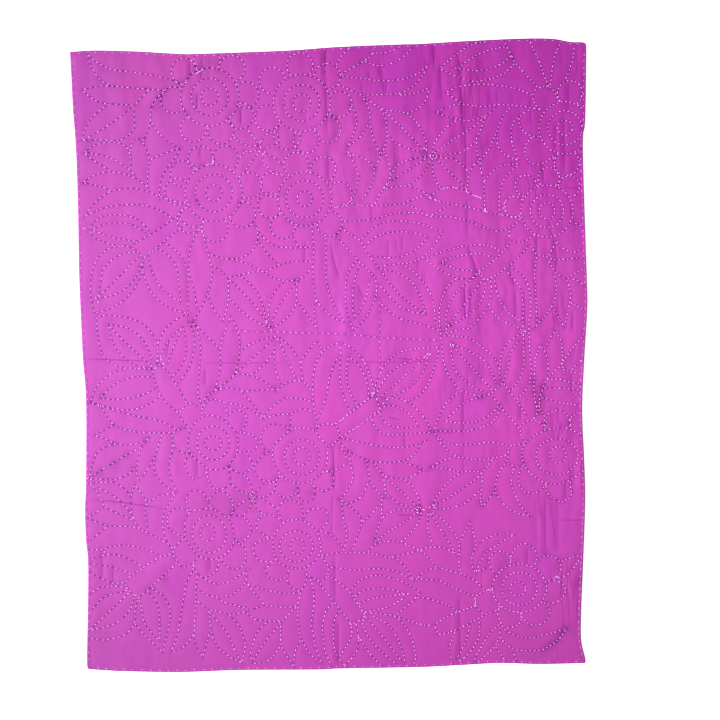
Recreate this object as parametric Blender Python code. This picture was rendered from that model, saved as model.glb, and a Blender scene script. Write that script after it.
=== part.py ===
"""Kantha quilt: one laid sheet of quilted cloth, stitched all over with flowers and leaves."""

import math
from collections import namedtuple

import bmesh
import bpy
from mathutils import Vector, geometry, kdtree

# ---- driving dimensions, in metres ----
CHART_STEP = 0.0018        # one step of the stitching chart
CHART_MIDDLE = (328.0, 355.25)  # the chart point that lies over the middle of the quilt
SEWN_THICKNESS = 0.0017    # cloth layers pressed together along a sewn line
PUFF_RISE = 0.0024         # how far the layers loft between sewn lines
PUFF_REACH = 0.011         # distance from a sewn line at which the loft is nearly full
HEM_THICKNESS = 0.0012     # top of the outer rim
HEM_ROUND = 0.003          # width over which the rim rolls down
BORDER_INSET = 0.0055      # border stitching, in from the rim
CREASE_DROP = 0.0011       # how far a pressed crease sinks below the loft
SEAM_POINT_PITCH = 0.0165  # spacing of the points along a sewn line
PUFF_POINT_PITCH = 0.0195  # spacing of the points between sewn lines
RIM_POINT_PITCH = 0.022    # spacing of the points along the rim
SEAM_MERGE = 0.006         # sewn points closer than this become one
PUFF_CLEARANCE = 0.0075    # puff points keep this far from every sewn point
HEM_LIFT = 0.0006          # the turned hem stands this much above the border stitching
UNEVEN = 0.0004            # slow unevenness of the loft
NET_CELL = 0.01            # sorting cell for finding close points
CDT_INSIDE = 1             # keep only the triangles inside the rim
CDT_MERGE = 0.0015         # crossing points closer than this become one
CLOTH_COLOUR = (0.64, 0.11, 0.55, 1.0)
CLOTH_ROUGHNESS = 0.62

Edge = namedtuple("Edge", "x0 y0 x1 y1 bulge")
Flower = namedtuple("Flower", "x y ring1 ring2 ring3 reach petal angles")
Ring = namedtuple("Ring", "x y across down")
Crease = namedtuple("Crease", "x0 y0 x1 y1 bulge")

# The rim of the cloth, clockwise from the top left corner, in chart steps (x right, y down).
RIM = [
    (70, 52), (95, 50.5), (136, 51.5), (180, 54), (196, 54), (240, 52.5), (290, 50.5), (330, 47.5),
    (360, 46), (400, 44.5), (420, 44), (460, 41.5), (500, 39.5), (530, 38.5), (553, 39), (570, 42),
    (583, 42.5), (586, 46), (586, 60), (585, 120), (583, 135), (583, 165), (585, 230), (587, 290),
    (587, 310), (584, 360), (582, 410), (584, 460), (585, 500), (583, 560), (581, 610), (581, 640),
    (585, 658), (584, 664), (540, 664), (500, 663), (460, 665), (420, 667), (340, 668.5), (320, 669.5),
    (240, 670), (180, 672), (120, 671), (91, 670), (87, 666), (88, 600), (88, 560), (86, 540),
    (85, 510), (86, 480), (86, 400), (83, 360), (81, 320), (79, 270), (78, 210), (76, 150), (73, 110),
    (71.5, 80), (69.8, 57),
]

# Stitched edges of each spray. Each row is an Edge: where it starts, where it ends, and how far its middle
# bulges to the left of the way it runs, all in chart steps.
SPRAYS = {
    "corner leaves": [
        (88, 54, 118, 71, -3), (118, 71, 178, 82, 2), (88, 54, 110, 86, -5), (83, 90, 110, 86, 1),
        (110, 86, 166, 91, 0), (83, 90, 108, 104, -3), (108, 104, 135, 105, 0), (135, 105, 150, 89, 0),
        (82, 141, 111, 104, 6), (82, 141, 135, 105, -2), (82, 141, 115, 141, 1), (115, 141, 135, 128, -3),
        (135, 128, 134, 106, 0), (166, 91, 151, 118, -5), (151, 118, 142, 142, 2),
        (151, 122, 180, 149, -3), (180, 149, 150, 160, -1),
    ],
    "side leaves": [
        (84, 153, 112, 142, 3), (112, 142, 131, 155, 4), (131, 155, 131, 170, 0), (84, 153, 135, 175, 6),
        (84, 153, 112, 171, -1), (130, 152, 135, 140, 1), (135, 140, 144, 141, 1), (142, 141, 150, 160, 1),
        (150, 160, 148, 188, -1), (180, 150, 168, 167, 1), (168, 167, 160, 198, -3),
        (83, 183, 112, 172, 3), (112, 172, 148, 188, 4), (83, 183, 112, 191, 1), (85, 217, 112, 191, 3),
        (112, 191, 150, 192, 3), (150, 192, 188, 203, -2), (85, 217, 125, 205, 3), (125, 205, 172, 218, 5),
    ],
    "twin leaf": [
        (89, 229, 118, 215, 5), (118, 215, 149, 231, 5), (92, 230, 118, 223, 2), (118, 223, 146, 233, 3),
        (92, 230, 137, 241, -2), (91, 230, 97, 239, -2), (97, 239, 120, 246, -1), (120, 246, 143, 258, 4),
        (190, 202, 178, 216, 0), (178, 216, 134, 244, 1), (186, 224, 143, 259, 0),
        (180, 217, 187, 225, -1), (187, 225, 201, 225, -2),
    ],
    "fork leaves": [
        (122, 246, 93, 270, -7), (93, 270, 95, 313, -3), (137, 252, 103, 270, -5), (103, 270, 98, 298, 0),
        (139, 257, 98, 298, 0), (143, 262, 98, 298, 10), (143, 270, 95, 313, 10),
        (143, 270, 188, 313, -11), (149, 256, 181, 302, -8), (158, 249, 178, 272, 4),
        (178, 272, 181, 302, 0), (165, 243, 189, 272, 4), (189, 272, 197, 308, 1), (144, 258, 158, 249, 1),
        (143, 258, 143, 272, 0),
    ],
    "low fork": [
        (97, 316, 103, 355, -2), (103, 355, 128, 368, -3), (128, 368, 152, 369, 0), (97, 317, 128, 318, 2),
        (128, 318, 158, 345, 6), (158, 345, 158, 363, 0), (109, 325, 152, 360, 11),
        (109, 325, 151, 365, -1), (109, 325, 152, 369, -12), (128, 368, 91, 402, -8),
        (91, 402, 125, 410, -1), (125, 410, 161, 395, -4), (151, 377, 101, 398, -8),
        (101, 398, 155, 389, -5), (152, 369, 161, 396, -1), (161, 396, 179, 413, -1),
        (158, 345, 189, 314, 6), (160, 358, 183, 327, 3), (168, 363, 183, 328, 1), (183, 327, 184, 361, 3),
        (184, 361, 172, 377, 1), (189, 322, 194, 352, 3), (194, 352, 178, 383, 3), (158, 363, 172, 377, 1),
        (172, 377, 188, 404, 0),
    ],
    "tall leaves": [
        (201, 228, 189, 262, -3), (189, 262, 188, 316, 0), (202, 228, 213, 272, 0),
        (213, 272, 194, 320, 3), (208, 294, 223, 321, -2), (223, 321, 228, 279, -3),
        (193, 322, 201, 350, 2), (201, 350, 198, 395, 0),
    ],
    "tall leaf": [
        (193, 322, 219, 348, 0), (231, 317, 220, 350, -1), (220, 350, 214, 391, 3),
        (231, 317, 240, 350, 3), (240, 350, 235, 374, 1), (235, 374, 214, 391, 1), (214, 391, 245, 391, 3),
        (245, 391, 275, 389, 0), (214, 391, 203, 405, -2),
    ],
    "waves": [
        (210, 253, 235, 259, -2), (235, 259, 258, 240, -5), (258, 240, 256, 226, -1),
        (230, 259, 265, 273, 2), (213, 266, 228, 278, 1), (228, 278, 265, 271, 1), (240, 276, 262, 302, 3),
        (262, 302, 268, 324, 0), (229, 279, 271, 327, 2), (229, 297, 271, 328, -4),
        (228, 279, 229, 297, 0), (265, 273, 313, 262, 5), (265, 273, 290, 281, -2),
        (290, 281, 313, 265, -4), (257, 228, 279, 247, -3), (279, 247, 313, 247, -1),
        (260, 243, 277, 263, -1), (293, 237, 299, 247, 0),
    ],
    "middle leaves": [
        (269, 322, 287, 280, 7), (272, 322, 299, 281, 3), (274, 327, 297, 303, -3),
        (297, 303, 298, 282, 1), (298, 302, 317, 328, 0), (317, 328, 316, 300, 2),
        (316, 298, 344, 322, -4), (312, 224, 314, 250, 0), (314, 250, 317, 303, -2),
        (326, 236, 326, 275, 0), (326, 275, 345, 322, -4),
    ],
    "spread": [
        (274, 337, 240, 352, -3), (272, 341, 235, 374, 0), (275, 350, 250, 376, 2),
        (236, 374, 275, 391, 5), (275, 345, 281, 384, -3), (280, 343, 296, 378, 0),
        (280, 338, 301, 365, 3), (301, 365, 303, 381, 0), (303, 381, 312, 390, 0), (277, 391, 302, 381, 4),
        (317, 342, 301, 364, -2), (318, 342, 322, 354, 1), (339, 343, 315, 367, -5),
        (315, 367, 313, 392, -1), (313, 392, 317, 420, -1), (338, 358, 328, 390, -2),
        (328, 390, 318, 418, 1), (341, 345, 340, 375, 0), (340, 375, 350, 411, -2),
        (343, 343, 368, 370, 4), (368, 370, 375, 395, 1), (349, 357, 347, 380, -1),
        (347, 380, 358, 405, -2), (349, 357, 365, 376, 2), (365, 376, 369, 396, 1),
        (240, 390, 263, 418, 1), (224, 403, 263, 419, 4), (263, 418, 285, 398, 2), (285, 398, 312, 401, 1),
        (263, 418, 290, 414, 1),
    ],
    "fan": [
        (376, 378, 388, 361, 2), (388, 361, 416, 349, 2), (378, 382, 397, 366, 1), (397, 366, 428, 357, 1),
        (380, 388, 402, 373, 0), (402, 373, 424, 356, -1), (383, 393, 405, 381, 0),
        (405, 381, 432, 350, -4), (374, 394, 334, 425, 1), (380, 409, 340, 438, 1),
        (343, 229, 361, 241, 0), (361, 241, 379, 268, -1), (337, 237, 358, 260, 0),
        (358, 261, 376, 279, 1), (343, 221, 380, 218, -1), (380, 218, 402, 213, 1),
        (402, 213, 434, 217, 2),
    ],
    "right twin": [
        (362, 240, 395, 221, 5), (395, 221, 442, 232, 3), (379, 267, 405, 264, 1),
        (405, 264, 428, 253, -2), (428, 253, 442, 232, -1), (367, 244, 395, 232, 3),
        (395, 232, 427, 237, 2), (374, 256, 400, 257, -1), (400, 257, 427, 238, -3),
    ],
    "right fork": [
        (404, 265, 433, 300, 4), (433, 300, 435, 325, 1), (379, 269, 412, 282, 3), (412, 282, 425, 313, 2),
        (382, 272, 426, 314, -4), (380, 285, 402, 308, -1), (402, 308, 425, 314, -1),
        (381, 303, 404, 320, -2), (404, 320, 440, 331, 1), (358, 260, 346, 290, -4),
        (346, 290, 354, 330, -3), (360, 265, 353, 298, -2), (353, 298, 355, 318, -1),
        (369, 282, 355, 318, 3), (377, 288, 354, 330, 5), (376, 279, 377, 298, 0),
    ],
    "top right": [
        (340, 75, 364, 61, 0), (364, 61, 375, 48, -2), (336, 66, 351, 48, 2), (371, 53, 383, 53, 0),
        (383, 53, 402, 46, -1), (364, 61, 380, 66, -1), (380, 66, 412, 48, -4), (341, 76, 372, 80, 0),
        (372, 80, 405, 79, -1), (405, 79, 428, 65, -2), (366, 95, 398, 94, 0), (398, 94, 427, 66, -5),
        (399, 95, 429, 88, -2), (362, 95, 385, 110, -1), (385, 110, 406, 113, 0), (406, 113, 429, 90, -6),
        (337, 84, 363, 96, 0), (380, 108, 387, 130, 2), (387, 130, 381, 155, 2), (363, 97, 370, 120, 2),
        (370, 120, 381, 155, -2), (384, 111, 423, 150, 1), (406, 113, 418, 124, 1),
        (418, 124, 427, 152, 2), (387, 133, 394, 142, 0), (394, 142, 420, 152, -1),
        (350, 105, 357, 122, 2), (357, 122, 348, 146, 1), (348, 146, 368, 124, -3),
        (347, 150, 359, 176, 1), (359, 176, 350, 202, 2), (347, 154, 371, 163, 2), (371, 163, 374, 176, 2),
        (374, 176, 361, 200, 2), (381, 155, 375, 168, 0), (383, 150, 390, 180, 3),
    ],
    "right burst": [
        (388, 185, 400, 163, 2), (400, 163, 432, 156, 1), (383, 190, 396, 178, 1), (396, 178, 427, 158, 0),
        (375, 205, 388, 182, 1), (385, 189, 408, 186, 1), (408, 186, 430, 196, 1),
        (408, 186, 432, 156, -4), (350, 203, 370, 206, -1), (370, 206, 402, 204, 0),
        (402, 204, 428, 194, 0), (402, 204, 422, 211, 1), (333, 208, 350, 203, 0),
    ],
    "far top": [
        (440, 69, 470, 45, 1), (470, 45, 504, 41, 1), (440, 69, 475, 82, -1), (475, 82, 492, 79, 0),
        (492, 79, 515, 63, -2), (457, 69, 482, 53, 1), (482, 53, 506, 47, 1), (454, 68, 475, 71, 0),
        (475, 71, 498, 66, -1), (498, 66, 512, 55, -1), (504, 41, 515, 63, 0), (515, 63, 538, 88, 0),
        (537, 88, 533, 97, -1), (533, 97, 541, 110, -2), (446, 93, 472, 85, 2), (472, 85, 500, 86, 1),
        (500, 86, 533, 96, 2), (446, 93, 462, 104, 0), (462, 104, 483, 107, 0), (483, 107, 506, 105, 1),
        (506, 105, 541, 110, 1), (436, 112, 461, 104, 1), (436, 112, 458, 119, -1),
        (458, 119, 480, 118, -2), (480, 118, 496, 108, -1), (432, 154, 441, 134, 2),
        (441, 134, 457, 120, 1), (433, 154, 457, 137, 0), (457, 137, 486, 115, -2),
        (434, 156, 458, 153, 0), (458, 153, 478, 136, -3), (478, 136, 486, 116, 0),
        (477, 137, 480, 161, -2), (434, 157, 454, 159, 0), (454, 159, 468, 172, 1),
        (434, 157, 467, 189, 0), (432, 157, 433, 174, 0), (433, 174, 441, 188, -1),
        (480, 161, 469, 175, -2), (469, 175, 467, 191, 0), (480, 161, 484, 180, -1),
        (484, 180, 485, 212, 0), (467, 191, 483, 199, -1), (429, 198, 443, 188, 1),
        (443, 188, 468, 191, 2), (429, 198, 450, 204, 0), (450, 204, 485, 212, 1),
        (485, 212, 522, 217, -1), (450, 205, 431, 216, 0), (424, 215, 434, 217, 0),
        (434, 217, 458, 218, 1), (458, 218, 490, 230, 1), (490, 230, 512, 227, -2),
        (512, 227, 522, 218, 0), (511, 107, 498, 129, -2), (498, 129, 490, 148, 0),
        (490, 148, 480, 161, 0), (497, 136, 500, 150, -1), (500, 150, 519, 160, -2),
        (519, 164, 503, 165, 0), (503, 165, 484, 182, -2), (519, 165, 505, 178, -1),
        (505, 178, 499, 199, -1), (499, 199, 502, 216, -1), (505, 200, 508, 217, -1),
        (530, 109, 519, 117, 0), (519, 117, 524, 132, -2), (524, 132, 540, 136, -2),
        (519, 117, 511, 131, -2), (511, 131, 519, 160, -2), (533, 137, 525, 150, -2),
        (525, 150, 531, 163, -2), (531, 163, 541, 164, -1), (541, 164, 554, 155, -1),
        (554, 156, 555, 165, -1), (549, 86, 560, 103, 1), (529, 40, 540, 64, 0), (540, 64, 549, 88, 0),
        (561, 43, 553, 64, -1), (553, 64, 550, 87, 0), (574, 47, 565, 80, 2), (538, 88, 549, 86, 0),
    ],
    "far middle": [
        (510, 229, 509, 238, 0), (426, 259, 456, 248, 1), (456, 248, 482, 245, 1), (482, 245, 500, 252, 2),
        (426, 259, 459, 279, -2), (459, 279, 470, 279, 0), (470, 279, 478, 272, -1),
        (478, 272, 512, 241, -2), (441, 263, 460, 256, 1), (460, 256, 482, 254, 1),
        (482, 254, 495, 258, 0), (441, 263, 456, 269, 0), (456, 269, 474, 270, -1),
        (478, 272, 486, 280, 0), (486, 280, 497, 275, 0), (497, 275, 510, 265, 0),
        (510, 265, 528, 246, -1), (512, 241, 529, 239, -2), (529, 239, 536, 234, 0),
        (530, 245, 537, 255, 0), (537, 255, 553, 260, 1), (553, 260, 583, 258, 0),
        (537, 256, 535, 280, -1), (535, 280, 537, 322, 0), (556, 240, 566, 250, -1),
        (566, 250, 580, 250, -2), (557, 241, 548, 257, 0), (574, 223, 583, 228, 1),
        (549, 260, 565, 278, -3), (566, 278, 584, 269, 0), (566, 279, 571, 296, 1),
        (571, 296, 566, 320, 0), (570, 302, 583, 309, 0), (567, 278, 583, 285, 2), (554, 275, 556, 292, 1),
        (556, 292, 551, 308, 1), (551, 308, 538, 323, 1), (554, 308, 559, 319, 0), (510, 267, 527, 282, 2),
        (527, 282, 530, 300, 1), (530, 300, 529, 322, 1), (507, 272, 521, 289, 1), (521, 289, 523, 320, 1),
        (495, 279, 499, 298, -1), (499, 298, 521, 321, -3), (458, 278, 444, 294, -2),
        (444, 294, 439, 315, -1), (476, 276, 461, 288, 0), (461, 288, 449, 304, -1),
        (449, 304, 446, 326, -1), (482, 281, 447, 327, 0), (482, 278, 485, 290, 2),
        (485, 290, 478, 306, 1), (478, 306, 447, 327, 2), (490, 279, 491, 294, 1), (491, 294, 488, 307, 1),
        (488, 307, 470, 328, 1), (489, 306, 501, 320, -1), (439, 315, 441, 336, 0),
        (447, 327, 446, 334, 0), (470, 328, 446, 334, -1), (501, 320, 527, 332, 0),
        (523, 320, 524, 362, 0), (524, 362, 511, 390, 3), (529, 322, 530, 357, 0), (530, 357, 531, 376, 1),
        (531, 376, 516, 400, 3), (538, 323, 535, 328, 0), (559, 319, 564, 326, 0), (564, 326, 566, 320, 0),
        (441, 336, 443, 358, 0), (443, 358, 460, 390, -3), (460, 390, 481, 397, 0),
        (443, 336, 468, 338, 1), (468, 338, 497, 361, 2), (497, 361, 500, 380, 1), (452, 344, 483, 359, 1),
        (483, 359, 496, 384, 2), (452, 345, 493, 391, 0), (451, 345, 455, 370, -1),
        (455, 370, 487, 393, -3), (470, 400, 491, 394, 0), (491, 394, 503, 382, 0),
        (462, 391, 441, 413, -3), (474, 399, 452, 414, -2), (491, 394, 505, 412, 0),
        (503, 382, 516, 400, 0), (516, 400, 526, 414, 0), (519, 341, 509, 361, -2),
        (509, 361, 503, 382, 1), (528, 331, 503, 350, -3), (503, 350, 500, 371, -1),
    ],
    "rim sprig": [
        (555, 331, 547, 346, -1), (555, 331, 562, 350, 2), (562, 350, 563, 369, 0),
        (541, 346, 535, 360, -1), (535, 360, 534, 388, 0), (534, 388, 538, 412, -1),
        (541, 346, 548, 366, 2), (548, 366, 546, 380, 1), (546, 380, 540, 397, 0), (540, 397, 539, 412, 0),
        (583, 337, 565, 359, -1), (565, 359, 560, 366, 0), (560, 366, 546, 380, 0),
        (562, 369, 583, 375, 0), (571, 370, 584, 357, 0), (546, 380, 558, 379, 0), (558, 379, 580, 384, 0),
        (543, 388, 562, 388, 0), (562, 388, 581, 390, 0), (572, 391, 581, 399, 0), (540, 397, 558, 402, 0),
        (558, 402, 577, 405, 0),
    ],
    "lower centre": [
        (336, 425, 352, 410, 0), (352, 410, 374, 395, 0), (340, 438, 365, 422, 0), (365, 422, 381, 411, 0),
        (330, 424, 336, 425, 0), (336, 425, 340, 437, 1), (340, 438, 331, 446, 0), (341, 438, 379, 446, 0),
        (379, 446, 405, 447, -1), (405, 447, 427, 440, -1), (421, 444, 406, 460, 2),
        (406, 460, 369, 461, 2), (338, 441, 348, 451, 0), (348, 451, 369, 461, 0), (349, 452, 353, 475, 0),
        (353, 475, 339, 499, 3), (341, 448, 347, 459, 1), (330, 471, 346, 464, -1),
        (404, 400, 431, 431, 4), (385, 398, 404, 400, 1), (372, 418, 391, 435, -5),
        (391, 435, 431, 432, 0), (382, 407, 400, 408, 2), (400, 408, 418, 425, 2),
        (380, 412, 400, 427, -5), (400, 427, 418, 426, -1), (376, 397, 381, 411, 0),
        (404, 462, 426, 470, 0), (374, 463, 384, 476, 0), (384, 476, 404, 479, 0),
        (404, 479, 422, 470, -1), (404, 479, 419, 500, 3), (384, 476, 413, 502, 0),
        (384, 478, 386, 495, 0), (367, 462, 370, 481, 0), (370, 481, 384, 498, -1),
        (369, 482, 362, 496, 0), (362, 496, 349, 503, 1), (342, 502, 347, 533, -1),
        (347, 533, 343, 552, 1), (344, 502, 358, 513, 0), (358, 513, 362, 523, 1),
        (362, 522, 383, 498, -2), (362, 523, 352, 551, 0), (382, 498, 382, 516, 0),
        (382, 516, 375, 538, 0), (375, 538, 377, 543, 0), (344, 552, 330, 554, 0), (344, 552, 371, 553, 0),
        (371, 553, 392, 558, 0), (367, 552, 377, 542, 0), (377, 541, 398, 526, 1), (398, 526, 420, 511, 0),
        (382, 518, 397, 510, 1), (397, 510, 420, 510, 0), (386, 495, 399, 504, 1), (399, 504, 418, 509, 0),
        (413, 502, 420, 509, 0), (419, 500, 421, 510, 0), (421, 511, 413, 530, 2), (413, 530, 400, 542, 1),
        (378, 543, 400, 541, 1), (400, 541, 420, 550, 0), (420, 550, 437, 568, 1), (420, 550, 428, 547, 0),
        (420, 550, 401, 555, 0), (401, 555, 390, 557, 0), (391, 557, 406, 568, 2), (406, 568, 413, 579, 0),
        (330, 567, 357, 570, 0), (357, 570, 386, 569, 1), (386, 569, 412, 580, 2), (410, 579, 424, 579, 0),
        (417, 579, 438, 568, 3), (351, 590, 378, 575, 4), (378, 575, 420, 592, 3), (354, 597, 381, 588, 3),
        (381, 588, 405, 594, 1), (330, 576, 352, 594, 1), (352, 594, 363, 612, 0), (358, 604, 380, 597, 1),
        (380, 597, 402, 594, 0), (402, 594, 410, 594, 0), (404, 598, 389, 607, 0), (389, 607, 364, 612, 0),
        (420, 592, 414, 600, 0), (414, 600, 396, 615, 0), (416, 597, 440, 602, 1), (440, 602, 458, 612, 1),
        (458, 612, 435, 624, -1), (364, 612, 393, 615, 0), (393, 615, 411, 621, 0),
        (411, 621, 431, 625, -1), (393, 616, 409, 632, 2), (409, 632, 416, 657, 1),
        (416, 657, 414, 666, 0), (368, 619, 384, 638, 0), (384, 638, 401, 660, 0), (372, 615, 387, 623, 0),
        (387, 623, 399, 641, 1), (399, 641, 405, 662, 1), (366, 614, 362, 622, 0), (362, 622, 366, 633, 0),
        (366, 633, 396, 663, -2), (330, 597, 340, 609, 0), (340, 609, 351, 624, 0),
        (340, 609, 335, 618, 0), (335, 618, 334, 641, -1), (334, 641, 338, 657, -1),
        (339, 657, 349, 642, 0), (349, 642, 351, 625, -2), (351, 624, 357, 622, 0),
        (356, 622, 359, 638, 0), (357, 622, 366, 615, 0), (360, 638, 383, 666, -2),
        (359, 638, 358, 649, 0), (358, 649, 344, 666, 1), (339, 657, 346, 666, -1),
        (364, 612, 367, 619, 0),
    ],
    "far lower": [
        (445, 421, 474, 422, -1), (474, 422, 499, 405, -3), (452, 414, 445, 421, 0),
        (441, 413, 434, 430, 0), (434, 431, 466, 431, 0), (466, 431, 490, 424, -1),
        (490, 424, 500, 407, -2), (505, 412, 520, 429, 0), (520, 429, 525, 443, -1),
        (437, 435, 450, 444, -1), (450, 444, 482, 443, -1), (482, 443, 509, 446, 2),
        (434, 431, 437, 437, 0), (437, 437, 457, 456, -2), (457, 456, 431, 467, -1),
        (457, 457, 482, 460, 0), (482, 460, 504, 456, 0), (504, 456, 507, 454, 0), (509, 446, 506, 463, 1),
        (509, 446, 525, 443, 0), (506, 463, 496, 482, -2), (496, 482, 495, 491, 0),
        (506, 463, 515, 466, 0), (515, 466, 525, 466, 0), (431, 467, 460, 472, 1), (460, 472, 480, 471, 0),
        (460, 473, 436, 498, -2), (436, 498, 432, 507, 0), (493, 459, 480, 475, 0),
        (480, 475, 461, 489, 1), (461, 489, 434, 505, 1), (482, 471, 480, 500, 1), (480, 500, 483, 506, 0),
        (483, 506, 495, 491, 0), (480, 490, 463, 504, 1), (463, 504, 434, 508, 2), (514, 467, 511, 482, 0),
        (511, 482, 530, 516, -3), (495, 491, 530, 516, -6), (525, 443, 525, 466, -3),
        (525, 443, 556, 428, 3), (556, 428, 580, 435, 3), (525, 466, 553, 484, -4),
        (553, 484, 581, 472, -3), (545, 428, 547, 415, 0), (547, 415, 558, 410, 1),
        (558, 410, 569, 418, 2), (569, 418, 570, 428, 0), (519, 428, 534, 420, 2), (534, 420, 546, 430, 2),
        (538, 404, 545, 418, 0), (545, 418, 544, 428, 0), (533, 420, 538, 412, 0),
        (523, 467, 519, 483, -2), (519, 483, 531, 493, -3), (531, 493, 545, 486, -2),
        (546, 485, 552, 498, -2), (552, 498, 561, 502, 0), (561, 502, 572, 493, -2),
        (572, 493, 570, 485, 0), (570, 485, 571, 479, 0), (570, 418, 581, 410, 0), (428, 512, 428, 526, 0),
        (428, 526, 434, 546, -1), (430, 512, 457, 555, 0), (431, 512, 460, 544, 4),
        (428, 547, 442, 547, 0), (442, 547, 459, 556, 1), (460, 544, 459, 560, 0),
        (459, 560, 463, 575, -1), (460, 541, 470, 522, 0), (470, 522, 476, 547, 1),
        (476, 547, 472, 560, -1), (472, 560, 476, 573, -1), (481, 542, 498, 534, 1),
        (498, 534, 514, 535, 1), (514, 535, 486, 553, -1), (486, 553, 476, 573, -1),
        (477, 571, 486, 568, 0), (511, 558, 498, 551, -2), (498, 551, 489, 560, -2),
        (489, 560, 494, 573, -1), (510, 556, 511, 564, 0), (511, 562, 523, 543, 4),
        (523, 543, 536, 562, 6), (536, 562, 535, 565, 0), (537, 563, 550, 555, 2), (550, 555, 561, 567, 3),
        (561, 567, 552, 579, 3), (552, 579, 546, 581, 0), (547, 582, 557, 581, 1), (557, 581, 566, 590, 2),
        (566, 590, 556, 602, 2), (556, 602, 546, 602, 1), (543, 602, 550, 611, 1), (550, 611, 543, 623, 2),
        (543, 623, 529, 624, 1), (529, 624, 521, 616, 0), (521, 618, 521, 611, 0), (521, 618, 515, 626, 2),
        (515, 626, 505, 628, 0), (500, 607, 498, 616, -1), (498, 616, 502, 625, 0),
        (424, 579, 439, 580, 0), (439, 580, 475, 596, -1), (440, 568, 475, 580, 1),
        (475, 580, 485, 590, 0), (485, 590, 493, 590, 0), (475, 596, 486, 590, 0), (475, 596, 477, 608, 0),
        (477, 605, 458, 612, 0), (477, 608, 484, 614, 0), (498, 610, 488, 613, 0), (488, 613, 458, 629, 0),
        (458, 629, 453, 631, 0), (435, 625, 438, 634, 0), (438, 634, 454, 630, -1),
        (455, 631, 450, 646, 0), (450, 646, 453, 664, -1), (470, 624, 457, 658, 2),
        (457, 658, 463, 664, 0), (479, 620, 479, 637, 1), (479, 637, 459, 662, 2),
        (500, 624, 486, 638, -1), (486, 638, 476, 656, 0), (476, 656, 474, 661, 0),
        (474, 661, 478, 664, 0), (500, 625, 500, 635, 0), (500, 635, 495, 646, 0), (495, 646, 475, 663, 1),
        (500, 636, 515, 649, -2), (515, 649, 541, 650, -1), (541, 650, 566, 629, -3),
        (511, 648, 518, 663, 0), (495, 646, 507, 663, 0), (501, 624, 516, 635, -2),
        (516, 635, 540, 635, -3), (540, 635, 566, 628, -1), (561, 561, 575, 556, 0),
        (575, 556, 583, 556, 0), (580, 559, 570, 572, 0), (570, 572, 557, 578, 1),
    ],
    "lower leaves": [
        (91, 403, 136, 416, 0), (136, 416, 158, 420, 0), (158, 420, 177, 430, 1), (100, 404, 114, 425, -1),
        (95, 435, 114, 425, 0), (114, 425, 137, 432, -1), (137, 432, 172, 433, 0), (95, 435, 118, 444, 0),
        (118, 444, 144, 441, -2), (90, 477, 97, 453, 1), (97, 453, 118, 444, 2), (89, 479, 138, 449, 1),
        (138, 449, 152, 433, -1), (143, 446, 137, 466, -1), (137, 466, 139, 480, -1),
        (89, 479, 113, 479, 0), (113, 479, 136, 467, -3), (89, 484, 114, 482, 1), (114, 482, 131, 497, 2),
        (89, 484, 117, 498, 1), (117, 498, 132, 515, 1), (92, 485, 104, 507, 2), (104, 507, 134, 520, 0),
        (88, 518, 104, 507, 0), (135, 484, 131, 497, 0), (131, 497, 132, 515, 0), (132, 515, 134, 520, 0),
        (135, 484, 148, 502, 0), (162, 433, 153, 461, 1), (140, 480, 153, 462, 0), (153, 460, 156, 475, 0),
        (156, 475, 176, 492, -2), (172, 433, 172, 453, 1), (172, 453, 169, 470, -1),
        (169, 470, 177, 491, -1), (173, 444, 190, 453, -3), (148, 502, 146, 515, -1),
        (146, 515, 148, 532, 0), (148, 503, 160, 495, 0), (160, 495, 176, 493, 0), (176, 493, 166, 509, 0),
        (166, 509, 163, 524, -1), (163, 524, 167, 541, -1), (167, 541, 174, 549, -1),
        (88, 518, 108, 526, 0), (108, 526, 128, 526, 0), (128, 526, 141, 529, 0), (134, 520, 141, 529, 0),
        (141, 529, 166, 542, 0), (91, 540, 108, 526, 0), (89, 550, 104, 549, 0), (104, 549, 122, 545, 1),
        (122, 545, 145, 549, 1), (145, 549, 163, 556, 0), (104, 549, 106, 555, 0), (89, 560, 106, 555, 0),
        (106, 555, 122, 556, 1), (122, 556, 142, 567, 1), (90, 563, 114, 567, 0), (114, 567, 132, 574, 0),
        (89, 571, 116, 584, -1), (116, 584, 125, 582, 0), (163, 556, 143, 568, -1),
        (143, 568, 132, 575, 0), (132, 575, 125, 583, 0), (125, 583, 129, 590, 0), (88, 595, 101, 587, 0),
        (101, 587, 114, 586, 0), (114, 586, 129, 589, 1), (129, 590, 108, 595, 0), (108, 595, 96, 605, -1),
        (96, 605, 89, 617, -1), (130, 592, 90, 630, 0), (129, 590, 135, 596, 0), (135, 596, 131, 609, 0),
        (131, 609, 116, 623, 1), (116, 623, 90, 630, 1), (138, 598, 135, 614, 0), (135, 614, 134, 624, 1),
        (134, 624, 122, 636, 2), (122, 636, 106, 640, 0), (106, 640, 89, 638, 0), (134, 622, 163, 652, -1),
        (163, 652, 169, 627, 0), (169, 627, 170, 609, -1), (170, 609, 163, 595, -1),
        (163, 595, 151, 587, 0), (146, 590, 159, 608, 2), (159, 608, 160, 622, 0), (160, 622, 160, 640, 0),
        (140, 599, 143, 617, 0), (143, 617, 150, 630, -1), (150, 630, 160, 640, -1),
        (178, 562, 150, 588, 0), (150, 588, 137, 599, 0),
    ],
    "lower petals": [
        (179, 413, 188, 403, 0), (188, 403, 197, 406, 1), (179, 412, 191, 428, -2),
        (172, 433, 190, 427, 1), (191, 428, 205, 416, 1), (205, 416, 225, 420, 2), (203, 415, 203, 407, 1),
        (198, 395, 203, 407, 0), (203, 407, 209, 400, 0), (209, 400, 226, 404, 2), (225, 404, 227, 417, 1),
        (225, 420, 238, 410, 2), (238, 410, 247, 418, 2), (247, 418, 239, 433, 2), (225, 420, 236, 432, 0),
        (238, 433, 238, 452, 0), (238, 433, 258, 440, 3), (258, 440, 252, 451, 2), (252, 451, 238, 452, 0),
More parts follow.
